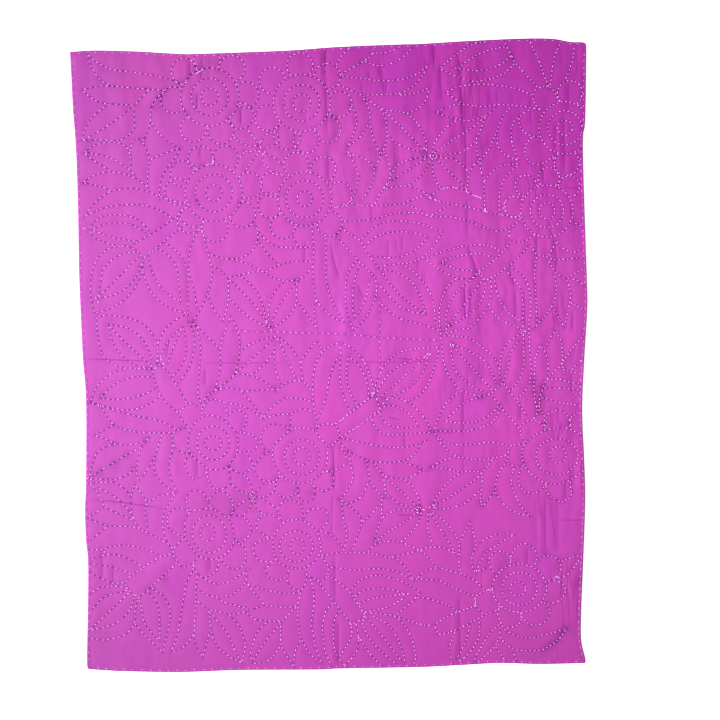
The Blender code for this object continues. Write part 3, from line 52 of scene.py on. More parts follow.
# the lines of each spray: x, y in chart steps (x right, y down), then x, y of the next point and how far the
# line to it bulges to the left of the way it runs, and so on
sprays = {
    "cornerLeaves": [
        (88, 54, 118, 71, -3, 178, 82, 2), (88, 54, 110, 86, -5), (83, 90, 110, 86, 1, 166, 91, 0),
        (83, 90, 108, 104, -3, 135, 105, 0, 150, 89, 0), (82, 141, 111, 104, 6), (82, 141, 135, 105, -2),
        (82, 141, 115, 141, 1, 135, 128, -3, 134, 106, 0), (166, 91, 151, 118, -5, 142, 142, 2),
        (151, 122, 180, 149, -3, 150, 160, -1),
    ],
    "sideLeaves": [
        (84, 153, 112, 142, 3, 131, 155, 4, 131, 170, 0), (84, 153, 135, 175, 6), (84, 153, 112, 171, -1),
        (130, 152, 135, 140, 1, 144, 141, 1), (142, 141, 150, 160, 1, 148, 188, -1),
        (180, 150, 168, 167, 1, 160, 198, -3), (83, 183, 112, 172, 3, 148, 188, 4), (83, 183, 112, 191, 1),
        (85, 217, 112, 191, 3, 150, 192, 3, 188, 203, -2), (85, 217, 125, 205, 3, 172, 218, 5),
    ],
    "twinLeaf": [
        (89, 229, 118, 215, 5, 149, 231, 5), (92, 230, 118, 223, 2, 146, 233, 3), (92, 230, 137, 241, -2),
        (91, 230, 97, 239, -2, 120, 246, -1, 143, 258, 4), (190, 202, 178, 216, 0, 134, 244, 1),
        (186, 224, 143, 259, 0), (180, 217, 187, 225, -1, 201, 225, -2),
    ],
    "forkLeaves": [
        (122, 246, 93, 270, -7, 95, 313, -3), (137, 252, 103, 270, -5, 98, 298, 0), (139, 257, 98, 298, 0),
        (143, 262, 98, 298, 10), (143, 270, 95, 313, 10), (143, 270, 188, 313, -11), (149, 256, 181, 302, -8),
        (158, 249, 178, 272, 4, 181, 302, 0), (165, 243, 189, 272, 4, 197, 308, 1), (144, 258, 158, 249, 1),
        (143, 258, 143, 272, 0),
    ],
    "lowFork": [
        (97, 316, 103, 355, -2, 128, 368, -3, 152, 369, 0), (97, 317, 128, 318, 2, 158, 345, 6, 158, 363, 0),
        (109, 325, 152, 360, 11), (109, 325, 151, 365, -1), (109, 325, 152, 369, -12),
        (128, 368, 91, 402, -8, 125, 410, -1, 161, 395, -4), (151, 377, 101, 398, -8, 155, 389, -5),
        (152, 369, 161, 396, -1, 179, 413, -1), (158, 345, 189, 314, 6), (160, 358, 183, 327, 3),
        (168, 363, 183, 328, 1), (183, 327, 184, 361, 3, 172, 377, 1), (189, 322, 194, 352, 3, 178, 383, 3),
        (158, 363, 172, 377, 1, 188, 404, 0),
    ],
    "tallLeaves": [
        (201, 228, 189, 262, -3, 188, 316, 0), (202, 228, 213, 272, 0, 194, 320, 3),
        (208, 294, 223, 321, -2, 228, 279, -3), (193, 322, 201, 350, 2, 198, 395, 0),
    ],
    "tallLeaf": [
        (193, 322, 219, 348, 0), (231, 317, 220, 350, -1, 214, 391, 3),
        (231, 317, 240, 350, 3, 235, 374, 1, 214, 391, 1, 245, 391, 3, 275, 389, 0), (214, 391, 203, 405, -2),
    ],
    "waves": [
        (210, 253, 235, 259, -2, 258, 240, -5, 256, 226, -1), (230, 259, 265, 273, 2),
        (213, 266, 228, 278, 1, 265, 271, 1), (240, 276, 262, 302, 3, 268, 324, 0), (229, 279, 271, 327, 2),
        (229, 297, 271, 328, -4), (228, 279, 229, 297, 0), (265, 273, 313, 262, 5),
        (265, 273, 290, 281, -2, 313, 265, -4), (257, 228, 279, 247, -3, 313, 247, -1),
        (260, 243, 277, 263, -1), (293, 237, 299, 247, 0),
    ],
    "middleLeaves": [
        (269, 322, 287, 280, 7), (272, 322, 299, 281, 3), (274, 327, 297, 303, -3, 298, 282, 1),
        (298, 302, 317, 328, 0, 316, 300, 2), (316, 298, 344, 322, -4), (312, 224, 314, 250, 0, 317, 303, -2),
        (326, 236, 326, 275, 0, 345, 322, -4),
    ],
    "spread": [
        (274, 337, 240, 352, -3), (272, 341, 235, 374, 0), (275, 350, 250, 376, 2), (236, 374, 275, 391, 5),
        (275, 345, 281, 384, -3), (280, 343, 296, 378, 0), (280, 338, 301, 365, 3, 303, 381, 0, 312, 390, 0),
        (277, 391, 302, 381, 4), (317, 342, 301, 364, -2), (318, 342, 322, 354, 1),
        (339, 343, 315, 367, -5, 313, 392, -1, 317, 420, -1), (338, 358, 328, 390, -2, 318, 418, 1),
        (341, 345, 340, 375, 0, 350, 411, -2), (343, 343, 368, 370, 4, 375, 395, 1),
        (349, 357, 347, 380, -1, 358, 405, -2), (349, 357, 365, 376, 2, 369, 396, 1), (240, 390, 263, 418, 1),
        (224, 403, 263, 419, 4), (263, 418, 285, 398, 2, 312, 401, 1), (263, 418, 290, 414, 1),
    ],
    "fan": [
        (374, 392, 380, 374, 0.5, 393, 356.5, 1.3, 413, 349.2, 1.4, 439, 347.5, 0.5),
        (439, 349.5, 433.5, 370, 0.6, 425, 389.4, 0.8, 410, 399.8, 1.8, 403, 400.5, 0.3),
        (377, 393, 384, 380.4, 0.5, 399.3, 366, 1.2, 426, 357, 1.2), (381, 397, 398, 382, 0, 424, 359, 0),
        (388, 398.5, 409.7, 387.2, -0.6, 427.5, 361, -2.6), (374, 394, 334, 425, 1), (380, 409, 340, 438, 1),
        (343, 229, 361, 241, 0, 379, 268, -1), (337, 237, 358, 260, 0), (358, 261, 376, 279, 1),
        (343, 221, 380, 218, -1, 402, 213, 1, 434, 217, 2),
    ],
    "crossPetals": [
        (259, 144, 248, 130, 0), (258, 145.5, 243, 144, 1.2, 233, 136.5, 0),
        (261, 143, 269, 133, 0.8, 278, 129.5, 0), (277.4, 132, 279.3, 142.5, 0, 265.5, 149, 0),
        (257.5, 150, 244.8, 151.4, 1.2, 238.8, 158, 0.6), (259, 153, 245.7, 171, -0.5),
        (262.5, 150.5, 277, 159, -0.5, 281.5, 164, 0),
        (262.3, 153, 262.9, 164, 0.3, 271, 173, 1.5, 284.6, 176.3, 0),
    ],
    "rightTwin": [
        (362, 240, 395, 221, 5, 442, 232, 3), (379, 267, 405, 264, 1, 428, 253, -2, 442, 232, -1),
        (367, 244, 395, 232, 3, 427, 237, 2), (374, 256, 400, 257, -1, 427, 238, -3),
    ],
    "rightFork": [
        (404, 265, 433, 300, 4, 435, 325, 1), (379, 269, 412, 282, 3, 425, 313, 2), (382, 272, 426, 314, -4),
        (380, 285, 402, 308, -1, 425, 314, -1), (381, 303, 404, 320, -2, 440, 331, 1),
        (358, 260, 346, 290, -4, 354, 330, -3), (360, 265, 353, 298, -2, 355, 318, -1),
        (369, 282, 355, 318, 3), (377, 288, 354, 330, 5), (376, 279, 377, 298, 0),
    ],
    "topRight": [
        (340, 75, 364, 61, 0, 375, 48, -2), (336, 66, 351, 48, 2), (371, 53, 383, 53, 0, 402, 46, -1),
        (364, 61, 380, 66, -1, 412, 48, -4), (341, 76, 372, 80, 0, 405, 79, -1, 428, 65, -2),
        (366, 95, 398, 94, 0, 427, 66, -5), (399, 95, 429, 88, -2),
        (362, 95, 385, 110, -1, 406, 113, 0, 429, 90, -6), (337, 84, 363, 96, 0),
        (380, 108, 387, 130, 2, 381, 155, 2), (363, 97, 370, 120, 2, 381, 155, -2), (384, 111, 423, 150, 1),
        (406, 113, 418, 124, 1, 427, 152, 2), (387, 133, 394, 142, 0, 420, 152, -1),
        (350, 105, 357, 122, 2, 348, 146, 1, 368, 124, -3), (347, 150, 359, 176, 1, 350, 202, 2),
        (347, 154, 371, 163, 2, 374, 176, 2, 361, 200, 2), (381, 155, 375, 168, 0), (383, 150, 390, 180, 3),
    ],
    "rightBurst": [
        (388, 185, 400, 163, 2, 432, 156, 1), (383, 190, 396, 178, 1, 427, 158, 0), (375, 205, 388, 182, 1),
        (385, 189, 408, 186, 1, 430, 196, 1), (408, 186, 432, 156, -4),
        (350, 203, 370, 206, -1, 402, 204, 0, 428, 194, 0), (402, 204, 422, 211, 1), (333, 208, 350, 203, 0),
    ],
    "farTop": [
        (440, 69, 470, 45, 1, 504, 41, 1), (440, 69, 475, 82, -1, 492, 79, 0, 515, 63, -2),
        (457, 69, 482, 53, 1, 506, 47, 1), (454, 68, 475, 71, 0, 498, 66, -1, 512, 55, -1),
        (504, 41, 515, 63, 0, 538, 88, 0), (537, 88, 533, 97, -1, 541, 110, -2),
        (446, 93, 472, 85, 2, 500, 86, 1, 533, 96, 2),
        (446, 93, 462, 104, 0, 483, 107, 0, 506, 105, 1, 541, 110, 1), (436, 112, 461, 104, 1),
        (436, 112, 458, 119, -1, 480, 118, -2, 496, 108, -1), (432, 154, 441, 134, 2, 457, 120, 1),
        (433, 154, 457, 137, 0, 486, 115, -2), (434, 156, 458, 153, 0, 478, 136, -3, 486, 116, 0),
        (477, 137, 480, 161, -2), (434, 157, 454, 159, 0, 468, 172, 1), (434, 157, 467, 189, 0),
        (432, 157, 433, 174, 0, 441, 188, -1), (480, 161, 469, 175, -2, 467, 191, 0),
        (480, 161, 484, 180, -1, 485, 212, 0), (467, 191, 483, 199, -1), (429, 198, 443, 188, 1, 468, 191, 2),
        (429, 198, 450, 204, 0, 485, 212, 1, 522, 217, -1), (450, 205, 431, 216, 0),
        (424, 215, 434, 217, 0, 458, 218, 1, 490, 230, 1, 512, 227, -2, 522, 218, 0),
        (511, 107, 498, 129, -2, 490, 148, 0, 480, 161, 0), (497, 136, 500, 150, -1, 519, 160, -2),
        (519, 164, 503, 165, 0, 484, 182, -2), (519, 165, 505, 178, -1, 499, 199, -1, 502, 216, -1),
        (505, 200, 508, 217, -1), (530, 109, 519, 117, 0, 524, 132, -2, 540, 136, -2),
        (519, 117, 511, 131, -2, 519, 160, -2),
        (533, 137, 525, 150, -2, 531, 163, -2, 541, 164, -1, 554, 155, -1), (554, 156, 555, 165, -1),
        (549, 86, 560, 103, 1), (529, 40, 540, 64, 0, 549, 88, 0), (561, 43, 553, 64, -1, 550, 87, 0),
        (574, 47, 565, 80, 2), (538, 88, 549, 86, 0),
    ],
    "farMiddle": [
        (510, 229, 509, 238, 0), (426, 259, 456, 248, 1, 482, 245, 1, 500, 252, 2),
        (426, 259, 459, 279, -2, 470, 279, 0, 478, 272, -1, 512, 241, -2),
        (441, 263, 460, 256, 1, 482, 254, 1, 495, 258, 0), (441, 263, 456, 269, 0, 474, 270, -1),
        (478, 272, 486, 280, 0, 497, 275, 0, 510, 265, 0, 528, 246, -1),
        (512, 241, 529, 239, -2, 536, 234, 0), (530, 245, 537, 255, 0, 553, 260, 1, 583, 258, 0),
        (537, 256, 535, 280, -1, 537, 322, 0), (556, 240, 566, 250, -1, 580, 250, -2),
        (557, 241, 548, 257, 0), (574, 223, 583, 228, 1), (549, 260, 565, 278, -3), (566, 278, 584, 269, 0),
        (566, 279, 571, 296, 1, 566, 320, 0), (570, 302, 583, 309, 0), (567, 278, 583, 285, 2),
        (554, 275, 556, 292, 1, 551, 308, 1, 538, 323, 1), (554, 308, 559, 319, 0),
        (510, 267, 527, 282, 2, 530, 300, 1, 529, 322, 1), (507, 272, 521, 289, 1, 523, 320, 1),
        (495, 279, 499, 298, -1, 521, 321, -3), (458, 278, 444, 294, -2, 439, 315, -1),
        (476, 276, 461, 288, 0, 449, 304, -1, 446, 326, -1), (482, 281, 447, 327, 0),
        (482, 278, 485, 290, 2, 478, 306, 1, 447, 327, 2), (490, 279, 491, 294, 1, 488, 307, 1, 470, 328, 1),
        (489, 306, 501, 320, -1), (439, 315, 441, 336, 0), (447, 327, 446, 334, 0), (470, 328, 446, 334, -1),
        (501, 320, 527, 332, 0), (523, 320, 524, 362, 0, 511, 390, 3),
        (529, 322, 530, 357, 0, 531, 376, 1, 516, 400, 3), (538, 323, 535, 328, 0),
        (559, 319, 564, 326, 0, 566, 320, 0), (441, 336, 443, 358, 0, 460, 390, -3, 481, 397, 0),
        (443, 336, 468, 338, 1, 497, 361, 2, 500, 380, 1), (452, 344, 483, 359, 1, 496, 384, 2),
        (452, 345, 493, 391, 0), (451, 345, 455, 370, -1, 487, 393, -3), (470, 400, 491, 394, 0, 503, 382, 0),
        (462, 391, 441, 413, -3), (474, 399, 452, 414, -2), (491, 394, 505, 412, 0),
        (503, 382, 516, 400, 0, 526, 414, 0), (519, 341, 509, 361, -2, 503, 382, 1),
        (528, 331, 503, 350, -3, 500, 371, -1),
    ],
    "rimSprig": [
        (555, 331, 547, 346, -1), (555, 331, 562, 350, 2, 563, 369, 0),
        (541, 346, 535, 360, -1, 534, 388, 0, 538, 412, -1),
        (541, 346, 548, 366, 2, 546, 380, 1, 540, 397, 0, 539, 412, 0),
        (583, 337, 565, 359, -1, 560, 366, 0, 546, 380, 0), (562, 369, 583, 375, 0), (571, 370, 584, 357, 0),
        (546, 380, 558, 379, 0, 580, 384, 0), (543, 388, 562, 388, 0, 581, 390, 0), (572, 391, 581, 399, 0),
        (540, 397, 558, 402, 0, 577, 405, 0),
    ],
    "lowerCentre": [
        (336, 425, 352, 410, 0, 374, 395, 0), (340, 438, 365, 422, 0, 381, 411, 0),
        (330, 424, 336, 425, 0, 340, 437, 1), (340, 438, 331, 446, 0),
        (341, 438, 379, 446, 0, 405, 447, -1, 427, 440, -1), (421, 444, 406, 460, 2, 369, 461, 2),
        (338, 441, 348, 451, 0, 369, 461, 0), (349, 452, 353, 475, 0, 339, 499, 3), (341, 448, 347, 459, 1),
        (330, 471, 346, 464, -1), (404, 400, 431, 431, 4), (385, 398, 404, 400, 1),
        (372, 418, 391, 435, -5, 431, 432, 0), (382, 407, 400, 408, 2, 418, 425, 2),
        (380, 412, 400, 427, -5, 418, 426, -1), (376, 397, 381, 411, 0), (404, 462, 426, 470, 0),
        (374, 463, 384, 476, 0, 404, 479, 0, 422, 470, -1), (404, 479, 419, 500, 3), (384, 476, 413, 502, 0),
        (384, 478, 386, 495, 0), (367, 462, 370, 481, 0, 384, 498, -1), (369, 482, 362, 496, 0, 349, 503, 1),
        (342, 502, 347, 533, -1, 343, 552, 1), (344, 502, 358, 513, 0, 362, 523, 1), (362, 522, 383, 498, -2),
        (362, 523, 352, 551, 0), (382, 498, 382, 516, 0, 375, 538, 0, 377, 543, 0), (344, 552, 330, 554, 0),
        (344, 552, 371, 553, 0, 392, 558, 0), (367, 552, 377, 542, 0), (377, 541, 398, 526, 1, 420, 511, 0),
        (382, 518, 397, 510, 1, 420, 510, 0), (386, 495, 399, 504, 1, 418, 509, 0), (413, 502, 420, 509, 0),
        (419, 500, 421, 510, 0), (421, 511, 413, 530, 2, 400, 542, 1),
        (378, 543, 400, 541, 1, 420, 550, 0, 437, 568, 1), (420, 550, 428, 547, 0),
        (420, 550, 401, 555, 0, 390, 557, 0), (391, 557, 406, 568, 2, 413, 579, 0),
        (330, 567, 357, 570, 0, 386, 569, 1, 412, 580, 2), (410, 579, 424, 579, 0), (417, 579, 438, 568, 3),
        (351, 590, 378, 575, 4, 420, 592, 3), (354, 597, 381, 588, 3, 405, 594, 1),
        (330, 576, 352, 594, 1, 363, 612, 0), (358, 604, 380, 597, 1, 402, 594, 0, 410, 594, 0),
        (404, 598, 389, 607, 0, 364, 612, 0), (420, 592, 414, 600, 0, 396, 615, 0),
        (416, 597, 440, 602, 1, 458, 612, 1, 435, 624, -1),
        (364, 612, 393, 615, 0, 411, 621, 0, 431, 625, -1), (393, 616, 409, 632, 2, 416, 657, 1, 414, 666, 0),
        (368, 619, 384, 638, 0, 401, 660, 0), (372, 615, 387, 623, 0, 399, 641, 1, 405, 662, 1),
        (366, 614, 362, 622, 0, 366, 633, 0, 396, 663, -2), (330, 597, 340, 609, 0, 351, 624, 0),
        (340, 609, 335, 618, 0, 334, 641, -1, 338, 657, -1), (339, 657, 349, 642, 0, 351, 625, -2),
        (351, 624, 357, 622, 0), (356, 622, 359, 638, 0), (357, 622, 366, 615, 0), (360, 638, 383, 666, -2),
        (359, 638, 358, 649, 0, 344, 666, 1), (339, 657, 346, 666, -1), (364, 612, 367, 619, 0),
    ],
    "farLower": [
        (445, 421, 474, 422, -1, 499, 405, -3), (452, 414, 445, 421, 0), (441, 413, 434, 430, 0),
        (434, 431, 466, 431, 0, 490, 424, -1, 500, 407, -2), (505, 412, 520, 429, 0, 525, 443, -1),
        (437, 435, 450, 444, -1, 482, 443, -1, 509, 446, 2),
        (434, 431, 437, 437, 0, 457, 456, -2, 431, 467, -1),
        (457, 457, 482, 460, 0, 504, 456, 0, 507, 454, 0), (509, 446, 506, 463, 1), (509, 446, 525, 443, 0),
        (506, 463, 496, 482, -2, 495, 491, 0), (506, 463, 515, 466, 0, 525, 466, 0),
        (431, 467, 460, 472, 1, 480, 471, 0), (460, 473, 436, 498, -2, 432, 507, 0),
        (493, 459, 480, 475, 0, 461, 489, 1, 434, 505, 1), (482, 471, 480, 500, 1, 483, 506, 0, 495, 491, 0),
        (480, 490, 463, 504, 1, 434, 508, 2), (514, 467, 511, 482, 0, 530, 516, -3), (495, 491, 530, 516, -6),
        (525, 443, 525, 466, -3), (525, 443, 556, 428, 3, 580, 435, 3),
        (525, 466, 553, 484, -4, 581, 472, -3),
        (545, 428, 547, 415, 0, 558, 410, 1, 569, 418, 2, 570, 428, 0), (519, 428, 534, 420, 2, 546, 430, 2),
        (538, 404, 545, 418, 0, 544, 428, 0), (533, 420, 538, 412, 0),
        (523, 467, 519, 483, -2, 531, 493, -3, 545, 486, -2),
        (546, 485, 552, 498, -2, 561, 502, 0, 572, 493, -2, 570, 485, 0, 571, 479, 0),
        (570, 418, 581, 410, 0), (428, 512, 428, 526, 0, 434, 546, -1), (430, 512, 457, 555, 0),
        (431, 512, 460, 544, 4), (428, 547, 442, 547, 0, 459, 556, 1), (460, 544, 459, 560, 0, 463, 575, -1),
        (460, 541, 470, 522, 0, 476, 547, 1, 472, 560, -1, 476, 573, -1),
        (481, 542, 498, 534, 1, 514, 535, 1, 486, 553, -1, 476, 573, -1), (477, 571, 486, 568, 0),
        (511, 558, 498, 551, -2, 489, 560, -2, 494, 573, -1), (510, 556, 511, 564, 0),
        (511, 562, 523, 543, 4, 536, 562, 6, 535, 565, 0),
        (537, 563, 550, 555, 2, 561, 567, 3, 552, 579, 3, 546, 581, 0),
        (547, 582, 557, 581, 1, 566, 590, 2, 556, 602, 2, 546, 602, 1),
        (543, 602, 550, 611, 1, 543, 623, 2, 529, 624, 1, 521, 616, 0), (521, 618, 521, 611, 0),
        (521, 618, 515, 626, 2, 505, 628, 0), (500, 607, 498, 616, -1, 502, 625, 0),
        (424, 579, 439, 580, 0, 475, 596, -1), (440, 568, 475, 580, 1, 485, 590, 0, 493, 590, 0),
        (475, 596, 486, 590, 0), (475, 596, 477, 608, 0), (477, 605, 458, 612, 0), (477, 608, 484, 614, 0),
        (498, 610, 488, 613, 0, 458, 629, 0, 453, 631, 0), (435, 625, 438, 634, 0, 454, 630, -1),
        (455, 631, 450, 646, 0, 453, 664, -1), (470, 624, 457, 658, 2, 463, 664, 0),
        (479, 620, 479, 637, 1, 459, 662, 2), (500, 624, 486, 638, -1, 476, 656, 0, 474, 661, 0, 478, 664, 0),
        (500, 625, 500, 635, 0, 495, 646, 0, 475, 663, 1),
        (500, 636, 515, 649, -2, 541, 650, -1, 566, 629, -3), (511, 648, 518, 663, 0),
        (495, 646, 507, 663, 0), (501, 624, 516, 635, -2, 540, 635, -3, 566, 628, -1),
        (561, 561, 575, 556, 0, 583, 556, 0), (580, 559, 570, 572, 0, 557, 578, 1),
    ],
    "lowerLeaves": [
        (91, 403, 136, 416, 0, 158, 420, 0, 177, 430, 1), (100, 404, 114, 425, -1),
        (95, 435, 114, 425, 0, 137, 432, -1, 172, 433, 0), (95, 435, 118, 444, 0, 144, 441, -2),
        (90, 477, 97, 453, 1, 118, 444, 2), (89, 479, 138, 449, 1, 152, 433, -1),
        (143, 446, 137, 466, -1, 139, 480, -1), (89, 479, 113, 479, 0, 136, 467, -3),
        (89, 484, 114, 482, 1, 131, 497, 2), (89, 484, 117, 498, 1, 132, 515, 1),
        (92, 485, 104, 507, 2, 134, 520, 0), (88, 518, 104, 507, 0),
        (135, 484, 131, 497, 0, 132, 515, 0, 134, 520, 0), (135, 484, 148, 502, 0), (162, 433, 153, 461, 1),
        (140, 480, 153, 462, 0), (153, 460, 156, 475, 0, 176, 492, -2),
        (172, 433, 172, 453, 1, 169, 470, -1, 177, 491, -1), (173, 444, 190, 453, -3),
        (148, 502, 146, 515, -1, 148, 532, 0),
        (148, 503, 160, 495, 0, 176, 493, 0, 166, 509, 0, 163, 524, -1, 167, 541, -1, 174, 549, -1),
        (88, 518, 108, 526, 0, 128, 526, 0, 141, 529, 0), (134, 520, 141, 529, 0, 166, 542, 0),
        (91, 540, 108, 526, 0), (89, 550, 104, 549, 0, 122, 545, 1, 145, 549, 1, 163, 556, 0),
        (104, 549, 106, 555, 0), (89, 560, 106, 555, 0, 122, 556, 1, 142, 567, 1),
        (90, 563, 114, 567, 0, 132, 574, 0), (89, 571, 116, 584, -1, 125, 582, 0),
        (163, 556, 143, 568, -1, 132, 575, 0, 125, 583, 0, 129, 590, 0),
        (88, 595, 101, 587, 0, 114, 586, 0, 129, 589, 1), (129, 590, 108, 595, 0, 96, 605, -1, 89, 617, -1),
        (130, 592, 90, 630, 0), (129, 590, 135, 596, 0, 131, 609, 0, 116, 623, 1, 90, 630, 1),
        (138, 598, 135, 614, 0, 134, 624, 1, 122, 636, 2, 106, 640, 0, 89, 638, 0),
        (134, 622, 163, 652, -1, 169, 627, 0, 170, 609, -1, 163, 595, -1, 151, 587, 0),
        (146, 590, 159, 608, 2, 160, 622, 0, 160, 640, 0),
        (140, 599, 143, 617, 0, 150, 630, -1, 160, 640, -1), (178, 562, 150, 588, 0, 137, 599, 0),
    ],
    "lowerPetals": [
        (179, 413, 188, 403, 0, 197, 406, 1), (179, 412, 191, 428, -2), (172, 433, 190, 427, 1),
        (191, 428, 205, 416, 1, 225, 420, 2), (203, 415, 203, 407, 1),
        (198, 395, 203, 407, 0, 209, 400, 0, 226, 404, 2), (225, 404, 227, 417, 1),
        (225, 420, 238, 410, 2, 247, 418, 2, 239, 433, 2), (225, 420, 236, 432, 0), (238, 433, 238, 452, 0),
        (238, 433, 258, 440, 3, 252, 451, 2, 238, 452, 0, 229, 466, 0),
        (245, 452, 254, 466, 1, 262, 480, -2, 276, 482, 0),
        (269, 452, 257, 462, -1, 244, 474, 1, 229, 467, 1), (243, 474, 251, 484, 1, 253, 494, 0),
        (229, 467, 231, 484, 0, 240, 491, 0, 253, 495, 0), (231, 484, 220, 489, 1, 210, 483, 2, 208, 470, 1),
        (205, 474, 208, 471, 0), (208, 469, 229, 466, -2), (190, 453, 209, 469, -1), (191, 428, 190, 453, -2),
        (190, 454, 185, 464, -1, 191, 477, -1, 199, 478, -1), (291, 415, 302, 409, 1, 313, 412, 1),
        (291, 415, 290, 430, 0), (290, 429, 276, 424, -1, 264, 430, -2, 262, 444, -2, 269, 452, -1),
        (290, 430, 275, 444, 0, 273, 457, -1, 281, 475, -1, 296, 483, -1, 310, 481, -1, 325, 470, -1, 328,
         446, -1, 315, 431, 0, 302, 428, -1, 290, 430, -1), (317, 420, 317, 428, 0), (317, 427, 330, 424, 1),
        (331, 446, 328, 447, 0), (313, 485, 324, 491, -1, 333, 486, -1, 333, 475, -1, 326, 470, 0),
        (325, 470, 330, 471, 0), (297, 483, 298, 493, 0, 300, 498, 0, 308, 502, -1, 315, 494, -2),
        (310, 481, 315, 488, 0, 315, 494, -1), (281, 475, 276, 481, 0), (276, 482, 264, 484, 0, 253, 495, 0),
        (276, 482, 275, 491, 0, 266, 497, 0, 253, 497, 0), (275, 491, 286, 498, -1, 298, 492, -1),
        (262, 498, 275, 507, 0, 281, 520, 1), (278, 510, 284, 501, 1, 301, 504, 2, 303, 518, 1),
        (274, 536, 286, 521, 1, 303, 520, 1),
        (274, 536, 274, 553, -1, 281, 564, -1, 290, 568, 0, 302, 568, 0, 318, 557, -2, 321, 545, -1, 318,
         532, 0, 303, 520, -1),
        (304, 518, 311, 509, 1, 326, 510, 1, 328, 521, 1, 319, 531, 1, 340, 543, 3, 344, 552, 1),
        (330, 554, 320, 556, 0, 329, 567, 1, 328, 576, 0, 317, 580, 1, 307, 575, 0), (328, 576, 330, 576, 0),
        (306, 567, 307, 577, 0, 301, 591, 1), (290, 568, 287, 578, 0, 292, 588, -1, 301, 591, 0),
        (274, 561, 266, 568, 0, 270, 578, -1, 279, 580, 0, 287, 577, 0),
        (274, 536, 258, 542, 0, 254, 551, -2, 259, 560, -1, 274, 561, -1, 277, 558, 0),
        (281, 520, 267, 514, -1, 257, 521, -1, 258, 530, -1, 269, 538, 0),
        (253, 496, 238, 505, 0, 231, 515, 0), (253, 498, 250, 508, 0, 243, 516, 0),
        (254, 499, 257, 508, 0, 263, 515, 0),
        (227, 517, 231, 515, 0, 243, 516, 0, 251, 526, 1, 250, 535, 1, 241, 544, 0),
        (227, 517, 233, 528, 1, 235, 539, 0, 241, 545, 0),
        (185, 537, 185, 521, 0, 192, 511, 1, 186, 500, 1, 192, 491, 1, 203, 492, 1, 209, 502, 0, 209, 508, 1),
        (192, 511, 209, 508, 0, 222, 514, 1, 228, 518, 0),
        (209, 500, 215, 493, 0, 226, 493, 2, 233, 503, 1, 231, 515, 1),
        (185, 537, 199, 556, -1, 219, 558, -2, 235, 540, -3),
        (199, 556, 191, 564, 1, 182, 566, 1, 177, 562, 0), (185, 537, 173, 549, 0), (194, 563, 193, 571, 0),
        (194, 563, 198, 574, -1, 204, 578, 0, 216, 571, -1, 219, 558, -1),
        (220, 558, 230, 568, -1, 240, 568, -1, 246, 556, -2, 241, 544, -2),
        (191, 511, 180, 508, 0, 168, 515, -2, 169, 528, -1, 185, 537, -1), (174, 549, 173, 554, 0),
        (163, 556, 173, 554, 0, 178, 562, 0),
    ],
    "lowerSprigs": [
        (204, 578, 217, 584, -1, 234, 579, -1, 250, 569, 0), (246, 571, 246, 582, 1),
        (193, 571, 186, 586, -1, 180, 622, 0, 172, 651, 1),
        (198, 574, 196, 590, 0, 196, 608, 0, 194, 633, 0, 172, 651, 4),
        (194, 633, 203, 657, -2, 211, 628, 0, 209, 610, 0),
        (197, 588, 215, 596, -2, 229, 596, 0, 246, 581, -2),
        (215, 596, 224, 602, 0, 246, 608, 0, 248, 610, 0),
        (197, 600, 209, 610, 0, 222, 626, 0, 232, 643, 1, 242, 663, 0), (209, 610, 227, 614, 1, 246, 611, -1),
        (229, 614, 240, 626, 0, 246, 645, 0, 242, 662, 0), (211, 630, 219, 648, -1, 242, 663, -1),
        (247, 583, 265, 605, 0, 249, 610, 0), (246, 612, 258, 620, -1, 282, 622, 0),
        (268, 622, 257, 633, -1, 251, 650, 0, 253, 661, -1), (282, 622, 266, 640, 0, 253, 661, 0),
        (281, 624, 281, 646, 0, 270, 660, 0, 253, 663, 1), (281, 646, 294, 667, 0),
        (247, 583, 278, 592, -1, 301, 591, -2), (265, 605, 283, 607, 0, 298, 605, -1),
        (297, 606, 282, 622, 0), (301, 591, 298, 605, 0, 298, 622, 0, 301, 639, 0, 295, 652, 0, 294, 667, 0),
        (301, 639, 311, 655, 0, 322, 663, 0),
        (310, 578, 314, 594, 1, 312, 618, 1, 312, 628, 0, 316, 648, 0, 322, 663, 0), (317, 579, 330, 597, 0),
        (334, 602, 325, 614, -1, 323, 632, -1, 325, 651, 0, 331, 664, 0),
    ],
}

# flowers: x, y, three ring radii, petals' reach, petal radius, petals' directions in degrees
flowers = [
    (210, 97, 8.5, 18.5, 29, 36, 13, (135, 95, 52, 3, -32, -72, -117, -175)),
    (214, 193, 8, 18.5, 28.5, 36, 13, (111, 71, 12, -37, -88, -131, 178, 148)),
    (302, 103, 8.8, 18, 28.5, 37, 13, (143, 93, 46, -2, -46, -83, -114, -156)),
    (305, 199, 7.5, 18.5, 27, 35, 12.5, (104, 58, 7, -45, -129, -169, 155)),
    (565, 128, 7.5, 17, 26, 35, 12.5, (82, -87)),
    (547, 211, 8, 16.5, 26, 33, 10.5, (130, 87, 48, 173)),
]

rings = [  # x, y, half width, half height
    (213.5, 443, 16.1, 16.7), (213.3, 443, 8.5, 7), (302, 457, 17.5, 17.4), (302.2, 456.2, 8, 8.5),
    (209.5, 534, 17.1, 18.6), (208, 532.5, 7.5, 8), (296.4, 546.3, 16.6, 15.4), (297.6, 546.2, 7, 8),
    (558, 454.5, 8.3, 8), (557, 456.5, 21, 18), (518, 588.5, 7.7, 7), (519.5, 588.5, 17.5, 16.5),
    (519.5, 588, 27, 24),
]

guides = [(236, 331, 345, 334, 0), (345, 334, 437, 340, -1), (380, 300, 380, 377, 0)]

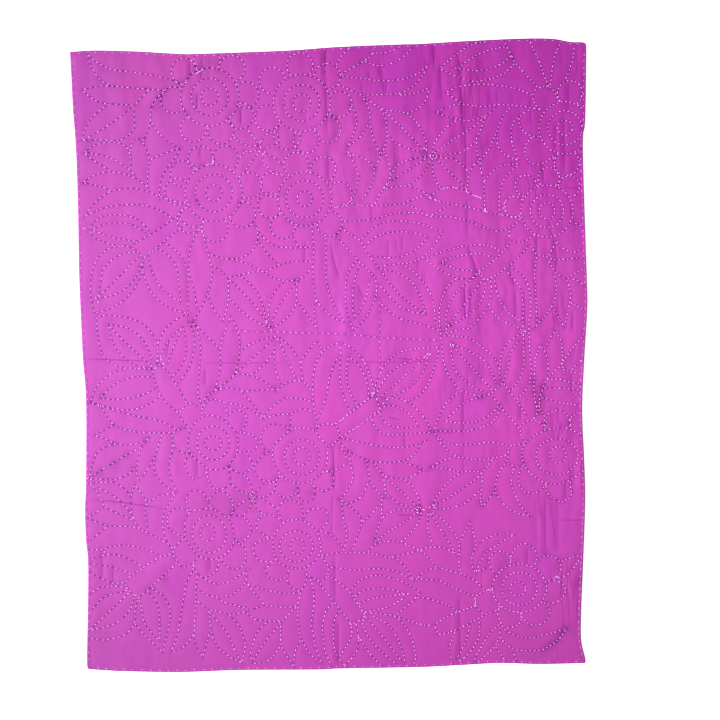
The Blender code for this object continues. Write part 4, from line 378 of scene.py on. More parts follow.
edges = {  # each side of the cloth in chart steps, from left to right or top to bottom
    "top": [(70, 52), (95, 50.5), (136, 51.5), (180, 54), (196, 54), (240, 52.5), (290, 50.5), (330, 47.5),
            (360, 46), (400, 44.5), (420, 44), (460, 41.5), (500, 39.5), (530, 38.5), (553, 39), (570, 42),
            (583, 42.5), (586, 45)],
    "bottom": [(88.5, 669), (120, 671), (180, 672), (240, 670), (320, 669.5), (340, 668.5), (420, 667),
               (460, 665), (500, 663), (540, 664), (585, 663)],
    "left": [(70, 52), (71.5, 80), (73, 110), (76, 150), (78, 210), (79, 270), (81, 320), (83, 360),
             (86, 400), (86, 480), (85, 510), (86, 540), (88, 560), (88, 600), (87, 660), (88.5, 669)],
    "right": [(586, 45), (586, 60), (585, 120), (583, 135), (583, 165), (585, 230), (587, 290), (587, 310),
              (584, 360), (582, 410), (584, 460), (585, 500), (583, 560), (581, 610), (581, 640), (585, 658),
              (585, 663)],
}


def toCloth(x, y):
    return Vector(((x - chart["middle"][0]) * chart["step"], (chart["middle"][1] - y) * chart["step"]))


def bowedEdge(x0, y0, x1, y1, bulge):
    length = math.hypot(x1 - x0, y1 - y0)
    count = max(2, round(length / chart["samplePitch"]))
    points = []
    for i in range(count + 1):
        t = i / count
        bow = bulge * 4 * t * (1 - t) / length
        points.append((x0 + (x1 - x0) * t + (y1 - y0) * bow, y0 + (y1 - y0) * t - (x1 - x0) * bow))
    return points


def pathLines(x, y, *rest):
    lines = []
    for nextX, nextY, bulge in zip(rest[::3], rest[1::3], rest[2::3]):
        lines.append(bowedEdge(x, y, nextX, nextY, bulge))
        x, y = nextX, nextY
    return lines


def ringLine(x, y, across, down):
    count = round(math.tau * (across + down) / 2 / chart["samplePitch"])
    turns = [math.tau * i / count for i in range(count + 1)]
    return [(x + across * math.cos(turn), y - down * math.sin(turn)) for turn in turns]


def flowerLines(x, y, ring1, ring2, ring3, reach, petal, angles):
    lines = [ringLine(x, y, radius, radius) for radius in (ring1, ring2, ring3)]
    opening = (reach ** 2 + petal ** 2 - ring3 ** 2) / (2 * reach * petal)
    half = math.acos(max(-1.0, min(1.0, opening)))  # where the petal's circle meets the outer ring
    sweep = math.tau - 2 * half
    count = round(sweep * petal / chart["samplePitch"])
    for angle in angles:
        out = math.radians(angle)
        midX, midY = x + reach * math.cos(out), y - reach * math.sin(out)
        turns = [out + math.pi + half + sweep * i / count for i in range(count + 1)]
        lines.append([(midX + petal * math.cos(turn), midY - petal * math.sin(turn)) for turn in turns])
    return lines


def smoothCurve(points, stops):
    # points on a smooth curve through the given ones: a number of them evenly spaced, or at stops from 0 to 1
    fine = []
    ends = [points[0] * 2 - points[1]] + points + [points[-1] * 2 - points[-2]]
    for before, start, end, after in zip(ends, ends[1:], ends[2:], ends[3:]):
        for k in range(chart["curveSteps"]):
            t = k / chart["curveSteps"]
            bend = 2 * before - 5 * start + 4 * end - after
            twist = 3 * start - before - 3 * end + after
            fine.append(0.5 * (2 * start + (end - before) * t + bend * t ** 2 + twist * t ** 3))
    fine.append(points[-1])
    walked = [0.0]
    for a, b in zip(fine, fine[1:]):
        walked.append(walked[-1] + (b - a).length)
    if isinstance(stops, int):
        wanted = np.linspace(0, walked[-1], stops)
    else:
        wanted = np.array(stops) * walked[-1]
    return np.stack([np.interp(wanted, walked, [point[axis] for point in fine]) for axis in (0, 1)], 1)


def sewnLines():
    # every line of stitching but the border, as arrays of places on the cloth
    lines = []
    for paths in sprays.values():
        for path in paths:
            lines += pathLines(*path)
    for row in flowers:
        lines += flowerLines(*row)
    lines += [ringLine(*row) for row in rings]
    motifs = len(lines)
    lines += [bowedEdge(*row) for row in guides]
    return [np.array([toCloth(x, y) for x, y in line]) for line in lines], motifs


seams, motifCount = sewnLines()
print("chart drawn:", len(seams), "lines")
cloth = {
    "width": 0.9311,          # metres over the rim's box, for spacing the grid
    "length": 1.1404,
    "cell": 0.0038,           # grid cell of the face
    "rimSteps": (0, 0.0010, 0.0024, 0.0040, 0.0056, 0.0080),  # finer steps in from the rim
    "underCell": 0.0075,      # and of the underside
    "underSteps": (0.0025, 0.0060),
    "underPull": 0.0006,      # how far the stitches draw the underside up
    "pullReach": 0.004,       # and how far to each side of them
    "sewn": 0.0017,           # height along a sewn line
    "loft": 0.00062,          # rise between sewn lines
    "loftReach": 0.0065,      # how far from the line it takes to rise
    "loftRun": 0.004,         # it starts over this much, in from the border stitching
    "hemTop": 0.0021,
    "hemRoll": 0.0020,        # width over which the hem rolls down to the rim
    "rimHeight": 0.0010,
    "rimSwell": 0.0003,       # how far the hem bulges out below the rim
    "swellHeight": 0.0006,
    "rimTuck": 0.0006,        # and how far it turns in again, down to the underside
    "underside": 0.0003,
    "borderInset": 0.0036,    # border stitching, in from the rim
    "motifInset": 0.0035,     # the motifs' stitching stops this far in from the rim
    "creaseDepth": 0.0012,    # metres to one unit of the creases' depth
    "foldInset": 0.008,       # creases and puckers die out within this of the rim
    "sewnFolds": 0.45,        # share of their height left along a sewn line
    "sewnReach": 0.004,
}

puckers = {
    "height": 0.00156,        # where every share below is 1
    "sway": 0.004,            # metres the ridges wander to each side
    "swayPace": 9,
    "ridges": (34, 9),        # pace of the upright ridges, across and down
    "fine": (85, 40),         # and of the finer ones between them
    "fineShare": 0.40,
    "patchPace": 7,           # calm and busy patches
    "patchMiddle": 0.6,
    "patchSpread": 0.9,
    "patchLeast": 0.15,
    "strength": 0.48,         # at the lower left
    "strengthGain": 1.10,     # more than that at the upper right
}

seamMarks = {
    "reach": 0.0055,          # faces within this of a sewn line know where they are along it
    "endReach": 0.009,        # corners within this of a line's end know how far past it they are
    "upright": 0.3,           # only faces that look up this much
    "creaseReach": 7.0,       # chart steps
}

creases = [  # x0, y0, x1, y1, bulge, depth, half width in chart steps
    (189, 56, 190, 83, 0, 0.7, 1.6), (197, 92, 197, 113, 0, 1.0, 1.6), (202, 58, 201, 82, 0, 0.8, 2.0),
    (200, 147, 200, 159, 0, 0.7, 1.5), (240, 106, 241, 125, 0, 0.9, 1.6), (325, 44, 325, 80, 0, 1.5, 2.2),
    (325, 70, 327, 134, 0, 0.8, 2.0), (328, 152, 328, 188, 0, 0.6, 2.0), (333, 442, 334, 494, 0, 0.9, 1.4),
    (333, 490, 331, 541, 0, 0.5, 1.4), (334, 552, 335, 604, 0, 0.7, 2.5), (338, 617, 338, 668, 0, 0.8, 2.2),
    (381, 63, 384, 94, 0, 0.7, 2.5), (433, 42, 434, 67, 0, 0.8, 2.0), (440, 67, 441, 103, 0, 0.7, 2.2),
    (457, 42, 463, 122, 0, 0.9, 2.2), (464, 80, 466, 194, 0, 0.9, 2.0), (471, 58, 468, 132, 0, 0.6, 2.2),
    (466, 242, 479, 278, 0, 0.9, 1.8), (464, 282, 465, 322, 0, 1.3, 1.8), (508, 267, 515, 288, 0, 0.9, 1.8),
    (515, 286, 515, 324, 0, 0.8, 1.8), (536, 235, 536, 258, 0, 0.8, 1.8), (554, 237, 556, 273, 0, 0.9, 1.8),
    (563, 112, 564, 178, 0, 0.9, 1.8), (568, 82, 568, 113, 0, 0.7, 1.8), (572, 308, 572, 332, 0, 0.8, 1.8),
    (571, 373, 571, 392, 0, 0.8, 1.8), (463, 385, 463, 437, 0, 0.8, 1.2), (463, 440, 463, 478, 0, 0.4, 1.6),
    (520, 398, 520, 422, 0, 0.8, 1.8), (536, 492, 536, 553, 0, 0.4, 3.0), (557, 492, 557, 553, 0, 0.4, 3.0),
    (459, 592, 460, 666, 0, 0.7, 2.2), (330, 238, 341, 282, -2, 0.6, 1.5), (357, 283, 363, 299, 0, 0.8, 2.6),
    (305, 240, 304, 263, 0, 0.6, 1.6), (371, 205, 372, 226, 0, 0.5, 1.5), (396, 238, 397, 252, 0, 0.4, 2.0),
    (187, 262, 187, 303, 0, 0.6, 4.0), (170, 338, 166, 357, 0, 0.7, 1.8), (205, 368, 205, 387, 0, 0.7, 1.8),
    (197, 452, 197, 482, 0, 0.6, 2.2), (113, 562, 113, 587, 0, 0.6, 2.2), (102, 543, 102, 582, 0, 0.6, 2.2),
    (210, 557, 210, 572, 0, 0.6, 1.8), (84, 359, 152, 361, 0, 0.7, 1.8), (394, 358, 428, 361, 0, 0.7, 1.8),
    (86, 499, 166, 509, 1, 0.7, 1.8), (394, 515, 427, 515, 0, 0.6, 1.8), (387, 417, 402, 420, 0, 0.6, 1.6),
    (386, 80, 386, 96, 0, 0.9, 1.2), (379, 60, 380, 78, 0, 0.7, 1.3), (368, 70, 369, 80, 0, 0.6, 1.2),
    (361, 80, 362, 97, 0, 0.5, 1.2), (440, 68, 440, 88, 0, 0.6, 1.4), (459, 58, 461, 76, 0, 0.8, 1.4),
    (462, 94, 463, 132, 0, 1.0, 1.5), (530, 98, 530, 126, 0, 0.7, 1.5), (542, 158, 543, 186, 0, 0.9, 1.5),
    (555, 120, 555, 156, 0, 0.7, 1.5), (564, 187, 580, 189, 0, 0.6, 1.3), (470, 284, 470, 322, 0, 0.8, 1.4),
    (467, 196, 467, 243, 0, 0.6, 1.4), (388, 238, 388, 263, 0, 0.6, 1.4), (402, 235, 402, 251, 0, 0.6, 1.4),
    (548, 218, 558, 246, -2, 0.8, 1.4), (524, 284, 524, 331, 0, 0.6, 1.5), (566, 306, 566, 331, 0, 0.5, 1.4),
    (558, 399, 558, 426, 0, 0.6, 1.4), (565, 479, 565, 501, 0, 0.6, 1.4), (545, 494, 545, 556, 0, 0.6, 2.4),
    (527, 547, 527, 566, 0, 0.6, 1.4), (406, 429, 406, 448, -2, 0.6, 1.4), (340, 362, 440, 362, 0, 0.5, 1.6),
    (200, 363, 290, 363, 0, 0.5, 1.6), (560, 520, 584, 520, 0, 0.5, 1.5), (490, 88, 490, 105, 0, 0.5, 1.6),
    (497, 89, 497, 105, 0, 0.4, 1.6), (512, 92, 512, 105, 0, 0.5, 1.6),
]

inkAndShadeSpots = {  # (reach in chart steps, strength): the places where tracing ink has gathered, with painted shade between the crowded stitches there
    (3, 0.5): [
        (225, 380),
    ],
    (4, 0.5): [
        (312, 222),
    ],
    (4, 0.6): [
        (90, 142), (88, 153), (84, 183), (113, 86), (146, 88), (165, 90), (178, 83), (143, 140), (180, 147),
        (187, 112), (200, 165), (213, 162), (281, 193), (253, 225), (258, 240), (232, 258), (295, 280),
        (97, 300), (141, 268), (197, 201), (240, 203), (333, 118), (110, 322), (235, 360), (275, 387),
        (102, 395), (90, 402), (113, 425), (114, 444), (146, 440), (134, 469), (155, 460), (190, 453),
        (181, 428), (232, 514), (275, 479), (297, 490), (310, 493), (240, 541), (230, 467), (266, 452),
        (290, 429), (317, 427), (333, 445), (331, 470), (234, 372), (210, 395), (340, 75), (361, 62),
        (363, 100), (384, 122), (381, 153), (374, 168), (348, 145), (349, 105), (405, 110), (413, 160),
        (512, 60), (461, 69), (550, 86), (452, 92), (440, 112), (512, 163), (393, 180), (431, 197),
        (478, 160), (342, 228), (337, 235), (372, 277), (376, 295), (424, 312), (444, 262), (476, 275),
        (509, 266), (530, 330), (442, 330), (450, 325), (537, 320), (454, 345), (428, 357), (500, 383),
        (500, 408), (432, 431), (341, 438), (349, 452), (367, 461), (382, 474), (420, 469), (431, 467),
        (508, 461), (524, 463), (341, 501), (385, 495), (376, 541), (481, 503), (494, 491), (513, 560),
        (560, 560), (545, 552), (543, 424), (569, 423), (424, 153),
    ],
    (4, 0.7): [
        (190, 76), (150, 368), (216, 389),
    ],
    (4, 0.8): [
        (270, 327), (276, 338), (158, 363), (434, 506), (435, 156),
    ],
    (4, 0.9): [
        (203, 69),
    ],
    (4, 1): [
        (260, 146), (545, 649),
    ],
    (5, 0.5): [
        (211, 63),
    ],
    (5, 0.6): [
        (302, 223), (290, 221),
    ],
    (5, 0.7): [
        (155, 108), (100, 473), (115, 465), (127, 456), (164, 578), (150, 589), (184, 82), (196, 71),
        (160, 99), (448, 431),
    ],
    (5, 0.9): [
        (374, 395),
    ],
    (5, 1): [
        (193, 322), (253, 497), (383, 403), (420, 510), (481, 397), (533, 382), (534, 392), (537, 403),
        (543, 396), (561, 633), (566, 629), (557, 639), (551, 645),
    ],
    (6, 1): [
        (540, 388), (540, 400), (539, 411),
    ],
}


def ramp(value, low, high):
    t = np.clip((value - low) / (high - low), 0, 1)
    return t * t * (3 - 2 * t)


def gridStops(length, cell, edge):
    cells = round((length - 2 * edge[-1]) / cell)
    inner = np.linspace(edge[-1], length - edge[-1], cells + 1)
    return np.concatenate([edge[:-1], inner, length - np.array(edge[-2::-1])]) / length


def clothGrid(cell, edge):
    # places on the cloth for every grid point, fitted between its four sides, and how far in each is
    across, down = gridStops(cloth["width"], cell, edge), gridStops(cloth["length"], cell, edge)
    side = {name: [toCloth(x, y) for x, y in rows] for name, rows in edges.items()}
    top, bottom = smoothCurve(side["top"], across), smoothCurve(side["bottom"], across)
    left, right = smoothCurve(side["left"], down), smoothCurve(side["right"], down)
    u, v = across[None, :, None], down[:, None, None]
    grid = (1 - v) * top[None] + v * bottom[None] + (1 - u) * left[:, None] + u * right[:, None]
    corners = (1 - u) * (1 - v) * top[0] + u * (1 - v) * top[-1]
    grid -= corners + (1 - u) * v * bottom[0] + u * v * bottom[-1]
    fromSide = np.minimum(across, 1 - across)[None] * cloth["width"]
    fromEnd = np.minimum(down, 1 - down)[:, None] * cloth["length"]
    return grid, np.minimum(fromSide, fromEnd)


def alongCrease(places, x0, y0, x1, y1, bulge):
    # how far along a crease each place is, from 0 to 1, and how far across it in chart steps
    start, end = toCloth(x0, y0), toCloth(x1, y1)
    run = end - start
    along = ((places - start) @ np.array(run)) / run.length_squared
    across = ((places - start) @ np.array((-run.y, run.x))) / run.length / chart["step"]
    return along, across - bulge * 4 * along * (1 - along)


def creaseFade(along):
    return ramp(along, -0.02, 0.22) * ramp(1 - along, -0.02, 0.22)


def creaseRelief(places):
    relief = np.zeros(places.shape[:2])
    for *path, depth, width in creases:
        along, across = alongCrease(places, *path)
        across /= width
        fold = -np.exp(-across ** 2) + 0.45 * np.exp(-((across + 2.1) / 1.3) ** 2)  # a lip on one side
        relief += depth * cloth["creaseDepth"] * creaseFade(along) * fold
    return relief


def puckerRelief(places):
    # upright puckers, stronger to the right and the top
    relief = np.empty(places.shape[:2])
    swayPace, patchPace = puckers["swayPace"], puckers["patchPace"]
    (ridgeX, ridgeY), (fineX, fineY) = puckers["ridges"], puckers["fine"]
    for index, (x, y) in zip(np.ndindex(relief.shape), places.reshape(-1, 2)):
        swayed = x + puckers["sway"] * noise.noise((x * swayPace, y * swayPace, 7.3))
        ridge = noise.noise((swayed * ridgeX, y * ridgeY, 1.7))
        fine = noise.noise((swayed * fineX, y * fineY, 5.1))
        patch = noise.noise((x * patchPace, y * patchPace, 2.9))
        patch = max(puckers["patchLeast"], puckers["patchMiddle"] + puckers["patchSpread"] * patch)
        corner = min(1.0, max(0.0, (x + 0.9 * y + 0.15) / 0.50))
        strength = puckers["strength"] + puckers["strengthGain"] * corner
        relief[index] = (ridge + puckers["fineShare"] * fine) * patch * strength
    return relief * puckers["height"]


def sewnTree():
    # every point of the sewn lines, to find the nearest
    tree = KDTree(sum(len(line) for line in seams))
    for index, (x, y) in enumerate(np.concatenate(seams)):
        tree.insert((x, y, 0), index)
    tree.balance()
    return tree


def seamGap(places, fromRim, tree):
    gap = np.array([tree.find((x, y, 0))[2] for x, y in places.reshape(-1, 2)]).reshape(fromRim.shape)
    return np.minimum(gap, np.abs(fromRim - cloth["borderInset"]))


def clothHeights(places, fromRim, tree):
    gap = seamGap(places, fromRim, tree)
    loft = cloth["loft"] * (1 - np.exp(-(gap / cloth["loftReach"]) ** 1.25))
    loft *= ramp(fromRim, cloth["borderInset"], cloth["borderInset"] + cloth["loftRun"])
    roll = np.sqrt(1 - (1 - np.clip(fromRim / cloth["hemRoll"], 0, 1)) ** 2)
    hem = cloth["rimHeight"] + (cloth["hemTop"] - cloth["rimHeight"]) * roll
    hem -= (cloth["hemTop"] - cloth["sewn"]) * ramp(fromRim, cloth["hemRoll"], cloth["borderInset"])
    folds = (creaseRelief(places) + puckerRelief(places)) * ramp(fromRim, 0, cloth["foldInset"])
    folds *= cloth["sewnFolds"] + (1 - cloth["sewnFolds"]) * ramp(gap, 0, cloth["sewnReach"])
    return np.maximum(hem + loft + folds, cloth["rimHeight"])  # never down to the underside


def outerRing(maker, ringEdges, outward, push, height):
    # draws the rim's edges on to the next ring round it
    grown = bmesh.ops.extrude_edge_only(maker, edges=ringEdges)["geom"]
    ring = {item for item in grown if isinstance(item, bmesh.types.BMVert)}
    for vert in ring:
        before = next(edge.other_vert(vert) for edge in vert.link_edges if edge.other_vert(vert) not in ring)
        outward[vert] = outward[before]
        vert.co = before.co + outward[vert] * push
        vert.co.z = height
    return [item for item in grown if isinstance(item, bmesh.types.BMEdge) and item.verts[0] in ring
            and item.verts[1] in ring]


def layGrid(maker, places, heights):
    # a grid laid over the places; returns the edges round it
    rows, columns = heights.shape
    verts = bmesh.ops.create_grid(maker, x_segments=columns - 1, y_segments=rows - 1, size=0.5)["verts"]
    for vert in verts:
        i = round((vert.co.x + 0.5) * (columns - 1))
        j = round((0.5 - vert.co.y) * (rows - 1))
        vert.co = (*places[j, i], heights[j, i])
    return list(dict.fromkeys(edge for vert in verts for edge in vert.link_edges if edge.is_boundary))


def newPiece(name, data):
    piece = bpy.data.objects.new(name, data)
    bpy.context.scene.collection.objects.link(piece)
    return piece


def makeCloth(tree):
    maker = bmesh.new()
    places, fromRim = clothGrid(cloth["cell"], cloth["rimSteps"])
    rim = layGrid(maker, places, clothHeights(places, fromRim, tree))
    outward = {}
    for vert in {vert for edge in rim for vert in edge.verts}:
        inner = [edge.other_vert(vert).co for edge in vert.link_edges if not edge.is_boundary]
        if not inner:
            inner = [edge.other_vert(vert).co for edge in vert.link_edges]
        away = vert.co - sum(inner, Vector()) / len(inner)
        outward[vert] = Vector((away.x, away.y, 0)).normalized()
    rim = outerRing(maker, rim, outward, cloth["rimSwell"], cloth["swellHeight"])
    rim = outerRing(maker, rim, outward, -cloth["rimTuck"], cloth["underside"])
    places, fromRim = clothGrid(cloth["underCell"], cloth["underSteps"])
    pull = cloth["underPull"] * np.exp(-(seamGap(places, fromRim, tree) / cloth["pullReach"]) ** 2)
    under = layGrid(maker, places, cloth["underside"] + pull)
    bmesh.ops.bridge_loops(maker, edges=rim + under)
    bmesh.ops.recalc_face_normals(maker, faces=maker.faces)
    mesh = bpy.data.meshes.new("quiltCloth")
    maker.to_mesh(mesh)
    maker.free()
    mesh.shade_smooth()
    return newPiece("quiltCloth", mesh)


def seamPitch(line, index):
    # motif stitches are spaced wider towards the left
    if index >= motifCount:
        return stitches["guidePitch"]
    return stitches["pitch"] - stitches["pitchChange"] * line[len(line) // 2][0]


def walkAlong(line):
    # how far along the line each of its points is
    return np.concatenate([[0], np.cumsum(np.linalg.norm(np.diff(line, axis=0), axis=1))])


def pointPlaces(mesh):
    places = np.empty(len(mesh.vertices) * 3)
    mesh.vertices.foreach_get("co", places)
    return places.reshape(-1, 3)


def cornerPlaces(mesh):
    corners = np.empty(len(mesh.loops), int)
    mesh.loops.foreach_get("vertex_index", corners)
    return pointPlaces(mesh)[corners, :2]


def keepPairs(mesh, name, pairs):
    mesh.uv_layers.new(name=name).data.foreach_set("uv", pairs.ravel())


def nearestSeams(mesh, tree, lineOf):
    # for each corner, the nearest point of each of the two sewn lines nearest to its face, or -1
    nearest = np.full((2, len(mesh.loops)), -1)
    for face in mesh.polygons:
        if len(face.vertices) > 4 or face.normal.z < seamMarks["upright"]:
            continue
        found = []
        close = tree.find_range((face.center.x, face.center.y, 0), seamMarks["reach"])
        for _, index, _ in sorted(close, key=lambda item: item[2]):
            if lineOf[index] not in [lineOf[other] for other in found]:
                found.append(index)
            if len(found) == 2:
                break
        for layer, index in enumerate(found):
            nearest[layer, face.loop_start:face.loop_start + face.loop_total] = index
    return nearest


def markSeams(mesh, tree):
    # each corner of a face keeps how far across, how far past the end and how many stitches along the two
    # nearest sewn lines it is
    spots = cornerPlaces(mesh)
    lineOf = np.concatenate([np.full(len(line), index) for index, line in enumerate(seams)])
    points = np.concatenate(seams)
    tangents = np.concatenate([np.gradient(line, axis=0) for line in seams])
    tangents /= np.linalg.norm(tangents, axis=1)[:, None]
    walks = [walkAlong(line) for line in seams]
    counts = [max(1, round(walk[-1] / seamPitch(line, index)))
              for index, (line, walk) in enumerate(zip(seams, walks))]
    steps = np.array([walk[-1] / count for walk, count in zip(walks, counts)])
    walked = np.concatenate(walks)
    starts, ends = (np.array([line[at] for line in seams]) for at in (0, -1))
    startWay = np.array([(line[0] - line[1]) / np.linalg.norm(line[0] - line[1]) for line in seams])
    endWay = np.array([(line[-1] - line[-2]) / np.linalg.norm(line[-1] - line[-2]) for line in seams])
    closed = np.linalg.norm(starts - ends, axis=1) < 0.001
    inside = -seamMarks["endReach"]
    counted = np.zeros((2, len(mesh.loops)))
    nearest = nearestSeams(mesh, tree, lineOf)
    for layer, name in enumerate(("seamNear", "seamNext")):
        used = nearest[layer] >= 0
        index = nearest[layer][used]
        line = lineOf[index]
        away = spots[used] - points[index]
        across = away[:, 0] * tangents[index, 1] - away[:, 1] * tangents[index, 0]
        counted[layer, used] = (walked[index] + (away * tangents[index]).sum(1)) / steps[line]
        counted[layer, used] = np.where(line < motifCount, counted[layer, used], 0.5)  # guides took no ink
        past = np.full(len(line), inside)
        for tips, way in ((starts, startWay), (ends, endWay)):
            fromTip = spots[used] - tips[line]
            beyond = (fromTip * way[line]).sum(1)
            near = np.linalg.norm(fromTip, axis=1) < seamMarks["endReach"]
            past = np.maximum(past, np.where(near, beyond, inside))
        past[closed[line]] = inside                         # rings have no end
        pairs = np.tile([1.0, 0.0], (len(mesh.loops), 1))   # centimetres; 1 is far from any line
        pairs[used] = np.stack([across * 100, past * 100], 1)
        keepPairs(mesh, name, pairs)
    keepPairs(mesh, "seamSteps", counted.T)


def markCreases(mesh):
    # each corner near a crease keeps how many half widths across it is and how sharp the crease is there
    spots = cornerPlaces(mesh)
    centres = np.array([face.center[:2] for face in mesh.polygons])
    nearest = np.array([len(face.vertices) == 4 and face.normal.z > seamMarks["upright"]
                        for face in mesh.polygons]) * seamMarks["creaseReach"]
    chosen = np.full(len(mesh.polygons), -1)
    for index, row in enumerate(creases):
        along, across = alongCrease(centres, *row[:5])
        near = (np.abs(across) < nearest) & (along > -0.05) & (along < 1.05)
        chosen[near], nearest[near] = index, np.abs(across[near])
    chosen = np.repeat(chosen, [len(face.vertices) for face in mesh.polygons])
    pairs = np.tile([9.0, 0.0], (len(mesh.loops), 1))       # far from any crease
    for index, (*path, depth, width) in enumerate(creases):
        along, across = alongCrease(spots[chosen == index], *path)
        sharpness = depth * creaseFade(along) * min(1, 1.5 / width)
        pairs[chosen == index] = np.stack([across / width, sharpness], 1)
    keepPairs(mesh, "creaseNear", pairs)


def markInkAndShade(mesh):
    # how much ink and painted shade has gathered at each point of the cloth's face
    places = pointPlaces(mesh)
    inkAndShadeAmount = np.zeros(len(places))
    for (reach, strength), spots in inkAndShadeSpots.items():
        for x, y in spots:
            away = np.linalg.norm(places[:, :2] - toCloth(x, y), axis=1) / (reach * chart["step"])
            inkAndShadeAmount = np.maximum(inkAndShadeAmount, strength * np.exp(-away ** 2))
    inkAndShadeAmount[places[:, 2] < cloth["rimHeight"] - 0.00005] = 0        # none on the underside
    mesh.attributes.new("inkAndShadePooled", "FLOAT", "POINT").data.foreach_set("value", inkAndShadeAmount)


def newMaterial(name, values):
    material = bpy.data.materials.new(name)
    material.use_nodes = True
    shader = material.node_tree.nodes["Principled BSDF"]
    for socket, value in values.items():
        shader.inputs[socket].default_value = value
    return material, material.node_tree, shader


def addNode(tree, kind, values=None, **settings):
    node = tree.nodes.new(kind)
    for name, value in settings.items():
        setattr(node, name, value)
    for socket, value in (values or {}).items():
        node.inputs[socket].default_value = value
    return node


def feed(tree, value, socket):
    if isinstance(value, bpy.types.NodeSocket):
        tree.links.new(value, socket)
    elif value is not None:
        socket.default_value = value


def addMath(tree, operation, first, second=None, third=None, clamp=False):
    node = addNode(tree, "ShaderNodeMath", operation=operation, use_clamp=clamp)
    for socket, value in zip(node.inputs, (first, second, third)):
        feed(tree, value, socket)
    return node.outputs[0]


def times(tree, first, second):
    return addMath(tree, "MULTIPLY", first, second)


def graded(tree, value, slope, start, clamp=False):
    return addMath(tree, "MULTIPLY_ADD", value, slope, start, clamp=clamp)


def softStep(tree, value, low, high):
    node = addNode(tree, "ShaderNodeMapRange", {"From Min": low, "From Max": high},
                   interpolation_type="SMOOTHSTEP")
    tree.links.new(value, node.inputs["Value"])
    return node.outputs["Result"]


def stretchedNoise(tree, place, scale, detail=2.0, roughness=0.5):
    mapping = addNode(tree, "ShaderNodeMapping", {"Scale": scale})
    tree.links.new(place, mapping.inputs["Vector"])
    node = addNode(tree, "ShaderNodeTexNoise", {"Scale": 1.0, "Detail": detail, "Roughness": roughness})
    tree.links.new(mapping.outputs["Vector"], node.inputs["Vector"])
    return node.outputs["Fac"]


def mixColours(tree, factor, first, second):
    node = addNode(tree, "ShaderNodeMix", data_type="RGBA")
    for index, value in ((0, factor), (6, first), (7, second)):
        feed(tree, value, node.inputs[index])
    return node.outputs[2]


def splitAxes(tree, socket):
    node = addNode(tree, "ShaderNodeSeparateXYZ")
    tree.links.new(socket, node.inputs[0])
    return node.outputs


def keptPair(tree, name):
    return splitAxes(tree, addNode(tree, "ShaderNodeUVMap", uv_map=name).outputs["UV"])


def plainWeave():
    # threads over and under, as a height from 0 to 1
    group = bpy.data.node_groups.new("plainWeave", "ShaderNodeTree")
    group.interface.new_socket("Vector", in_out="INPUT", socket_type="NodeSocketVector")
    group.interface.new_socket("Threads", in_out="INPUT", socket_type="NodeSocketFloat")
    group.interface.new_socket("Height", in_out="OUTPUT", socket_type="NodeSocketFloat")
    source = group.nodes.new("NodeGroupInput").outputs
    target = group.nodes.new("NodeGroupOutput").inputs
    axes = splitAxes(group, source["Vector"])
    turn = times(group, source["Threads"], math.pi)
    warp, weft = (addMath(group, "SINE", times(group, axes[name], turn)) for name in "XY")
    group.links.new(graded(group, times(group, warp, weft), 0.5, 0.5), target["Height"])
    return group


clothFinish = {
    "pale": (0.525, 0.084, 0.462, 1),        # the cotton's magenta at the left, paler and greyer with painted sheen and light
    "deep": (0.497, 0.055, 0.396, 1),        # the cotton's magenta at the right, with less painted sheen and light
    "paintedShadeCorner": (0.435, 0.030, 0.368, 1),        # painted shade, strongest in the far corner
    "violet": (0.470, 0.050, 0.480, 1),      # where the dye leans blue
    "pink": (0.570, 0.056, 0.390, 1),        # where it leans pink
    "streakStrength": 0.35,
    "mottle": (0.42, 0.048, 0.35, 1),        # small uneven patches
    "mottleStrength": 0.24,
    "ink": (0.055, 0.001, 0.080, 1),         # tracing ink left under the stitches
    "inkHalfWidth": 0.090,                   # centimetres
    "inkStrength": 0.86,
    "inkBetween": 0.28,                      # share of it left between two stitches
    "smudgeAndShade": 0.45,                          # and spread on the cloth where it has gathered, with painted shade between the crowded stitches
    "stain": (0.20, 0.02, 0.14, 1),
    "stainStrength": 0.16,
    "stainPlace": (222, 505, 34, 15),        # x, y, half width, half height in chart steps
    "shade": (0.20, 0.004, 0.20, 1),         # down in the wrinkles, creases and seams
    "wrinkleShade": 0.30,
    "creaseShade": 0.82,
    "seamShade": 0.195,
    "weaveThreads": 1800,                    # to the metre
    "weaveDepth": 0.00006,
    "wrinkleDepth": 0.0004,
    "roughness": 0.55,
    "gloss": 0.12,
    "sheen": 0.10,
    "sheenRoughness": 0.45,
    "sheenTint": (1.0, 0.30, 0.90, 1),
}


def cottonAndPaintedLight(tree, place, axes):
    # paler to the left and low down with painted sheen and light, darker in the far corner with painted
    # shade, with slow streaks that lean violet or pink, and a fine mottle
    squared = times(tree, axes["Y"], axes["Y"])
    # the mix from pale to deep paints the sheen and light that fall from the left
    lessPaintedSheen = graded(tree, squared, 0.9, graded(tree, axes["X"], 1.6, 0.55), clamp=True)
    colour = mixColours(tree, lessPaintedSheen, clothFinish["pale"], clothFinish["deep"])
    # painted shade in the far corner
    corner = softStep(tree, graded(tree, axes["X"], 0.6, axes["Y"]), 0.38, 0.64)
    colour = mixColours(tree, corner, colour, clothFinish["paintedShadeCorner"])
    streaks = stretchedNoise(tree, place, (9, 3, 1), detail=3.0)
    for lean, low, high in (("violet", 0.48, 0.30), ("pink", 0.52, 0.70)):
        amount = times(tree, softStep(tree, streaks, low, high), clothFinish["streakStrength"])
        colour = mixColours(tree, amount, colour, clothFinish[lean])
    mottle = softStep(tree, stretchedNoise(tree, place, (40, 20, 1), detail=4.0, roughness=0.6), 0.25, 0.75)
    return mixColours(tree, times(tree, mottle, clothFinish["mottleStrength"]), colour, clothFinish["mottle"])


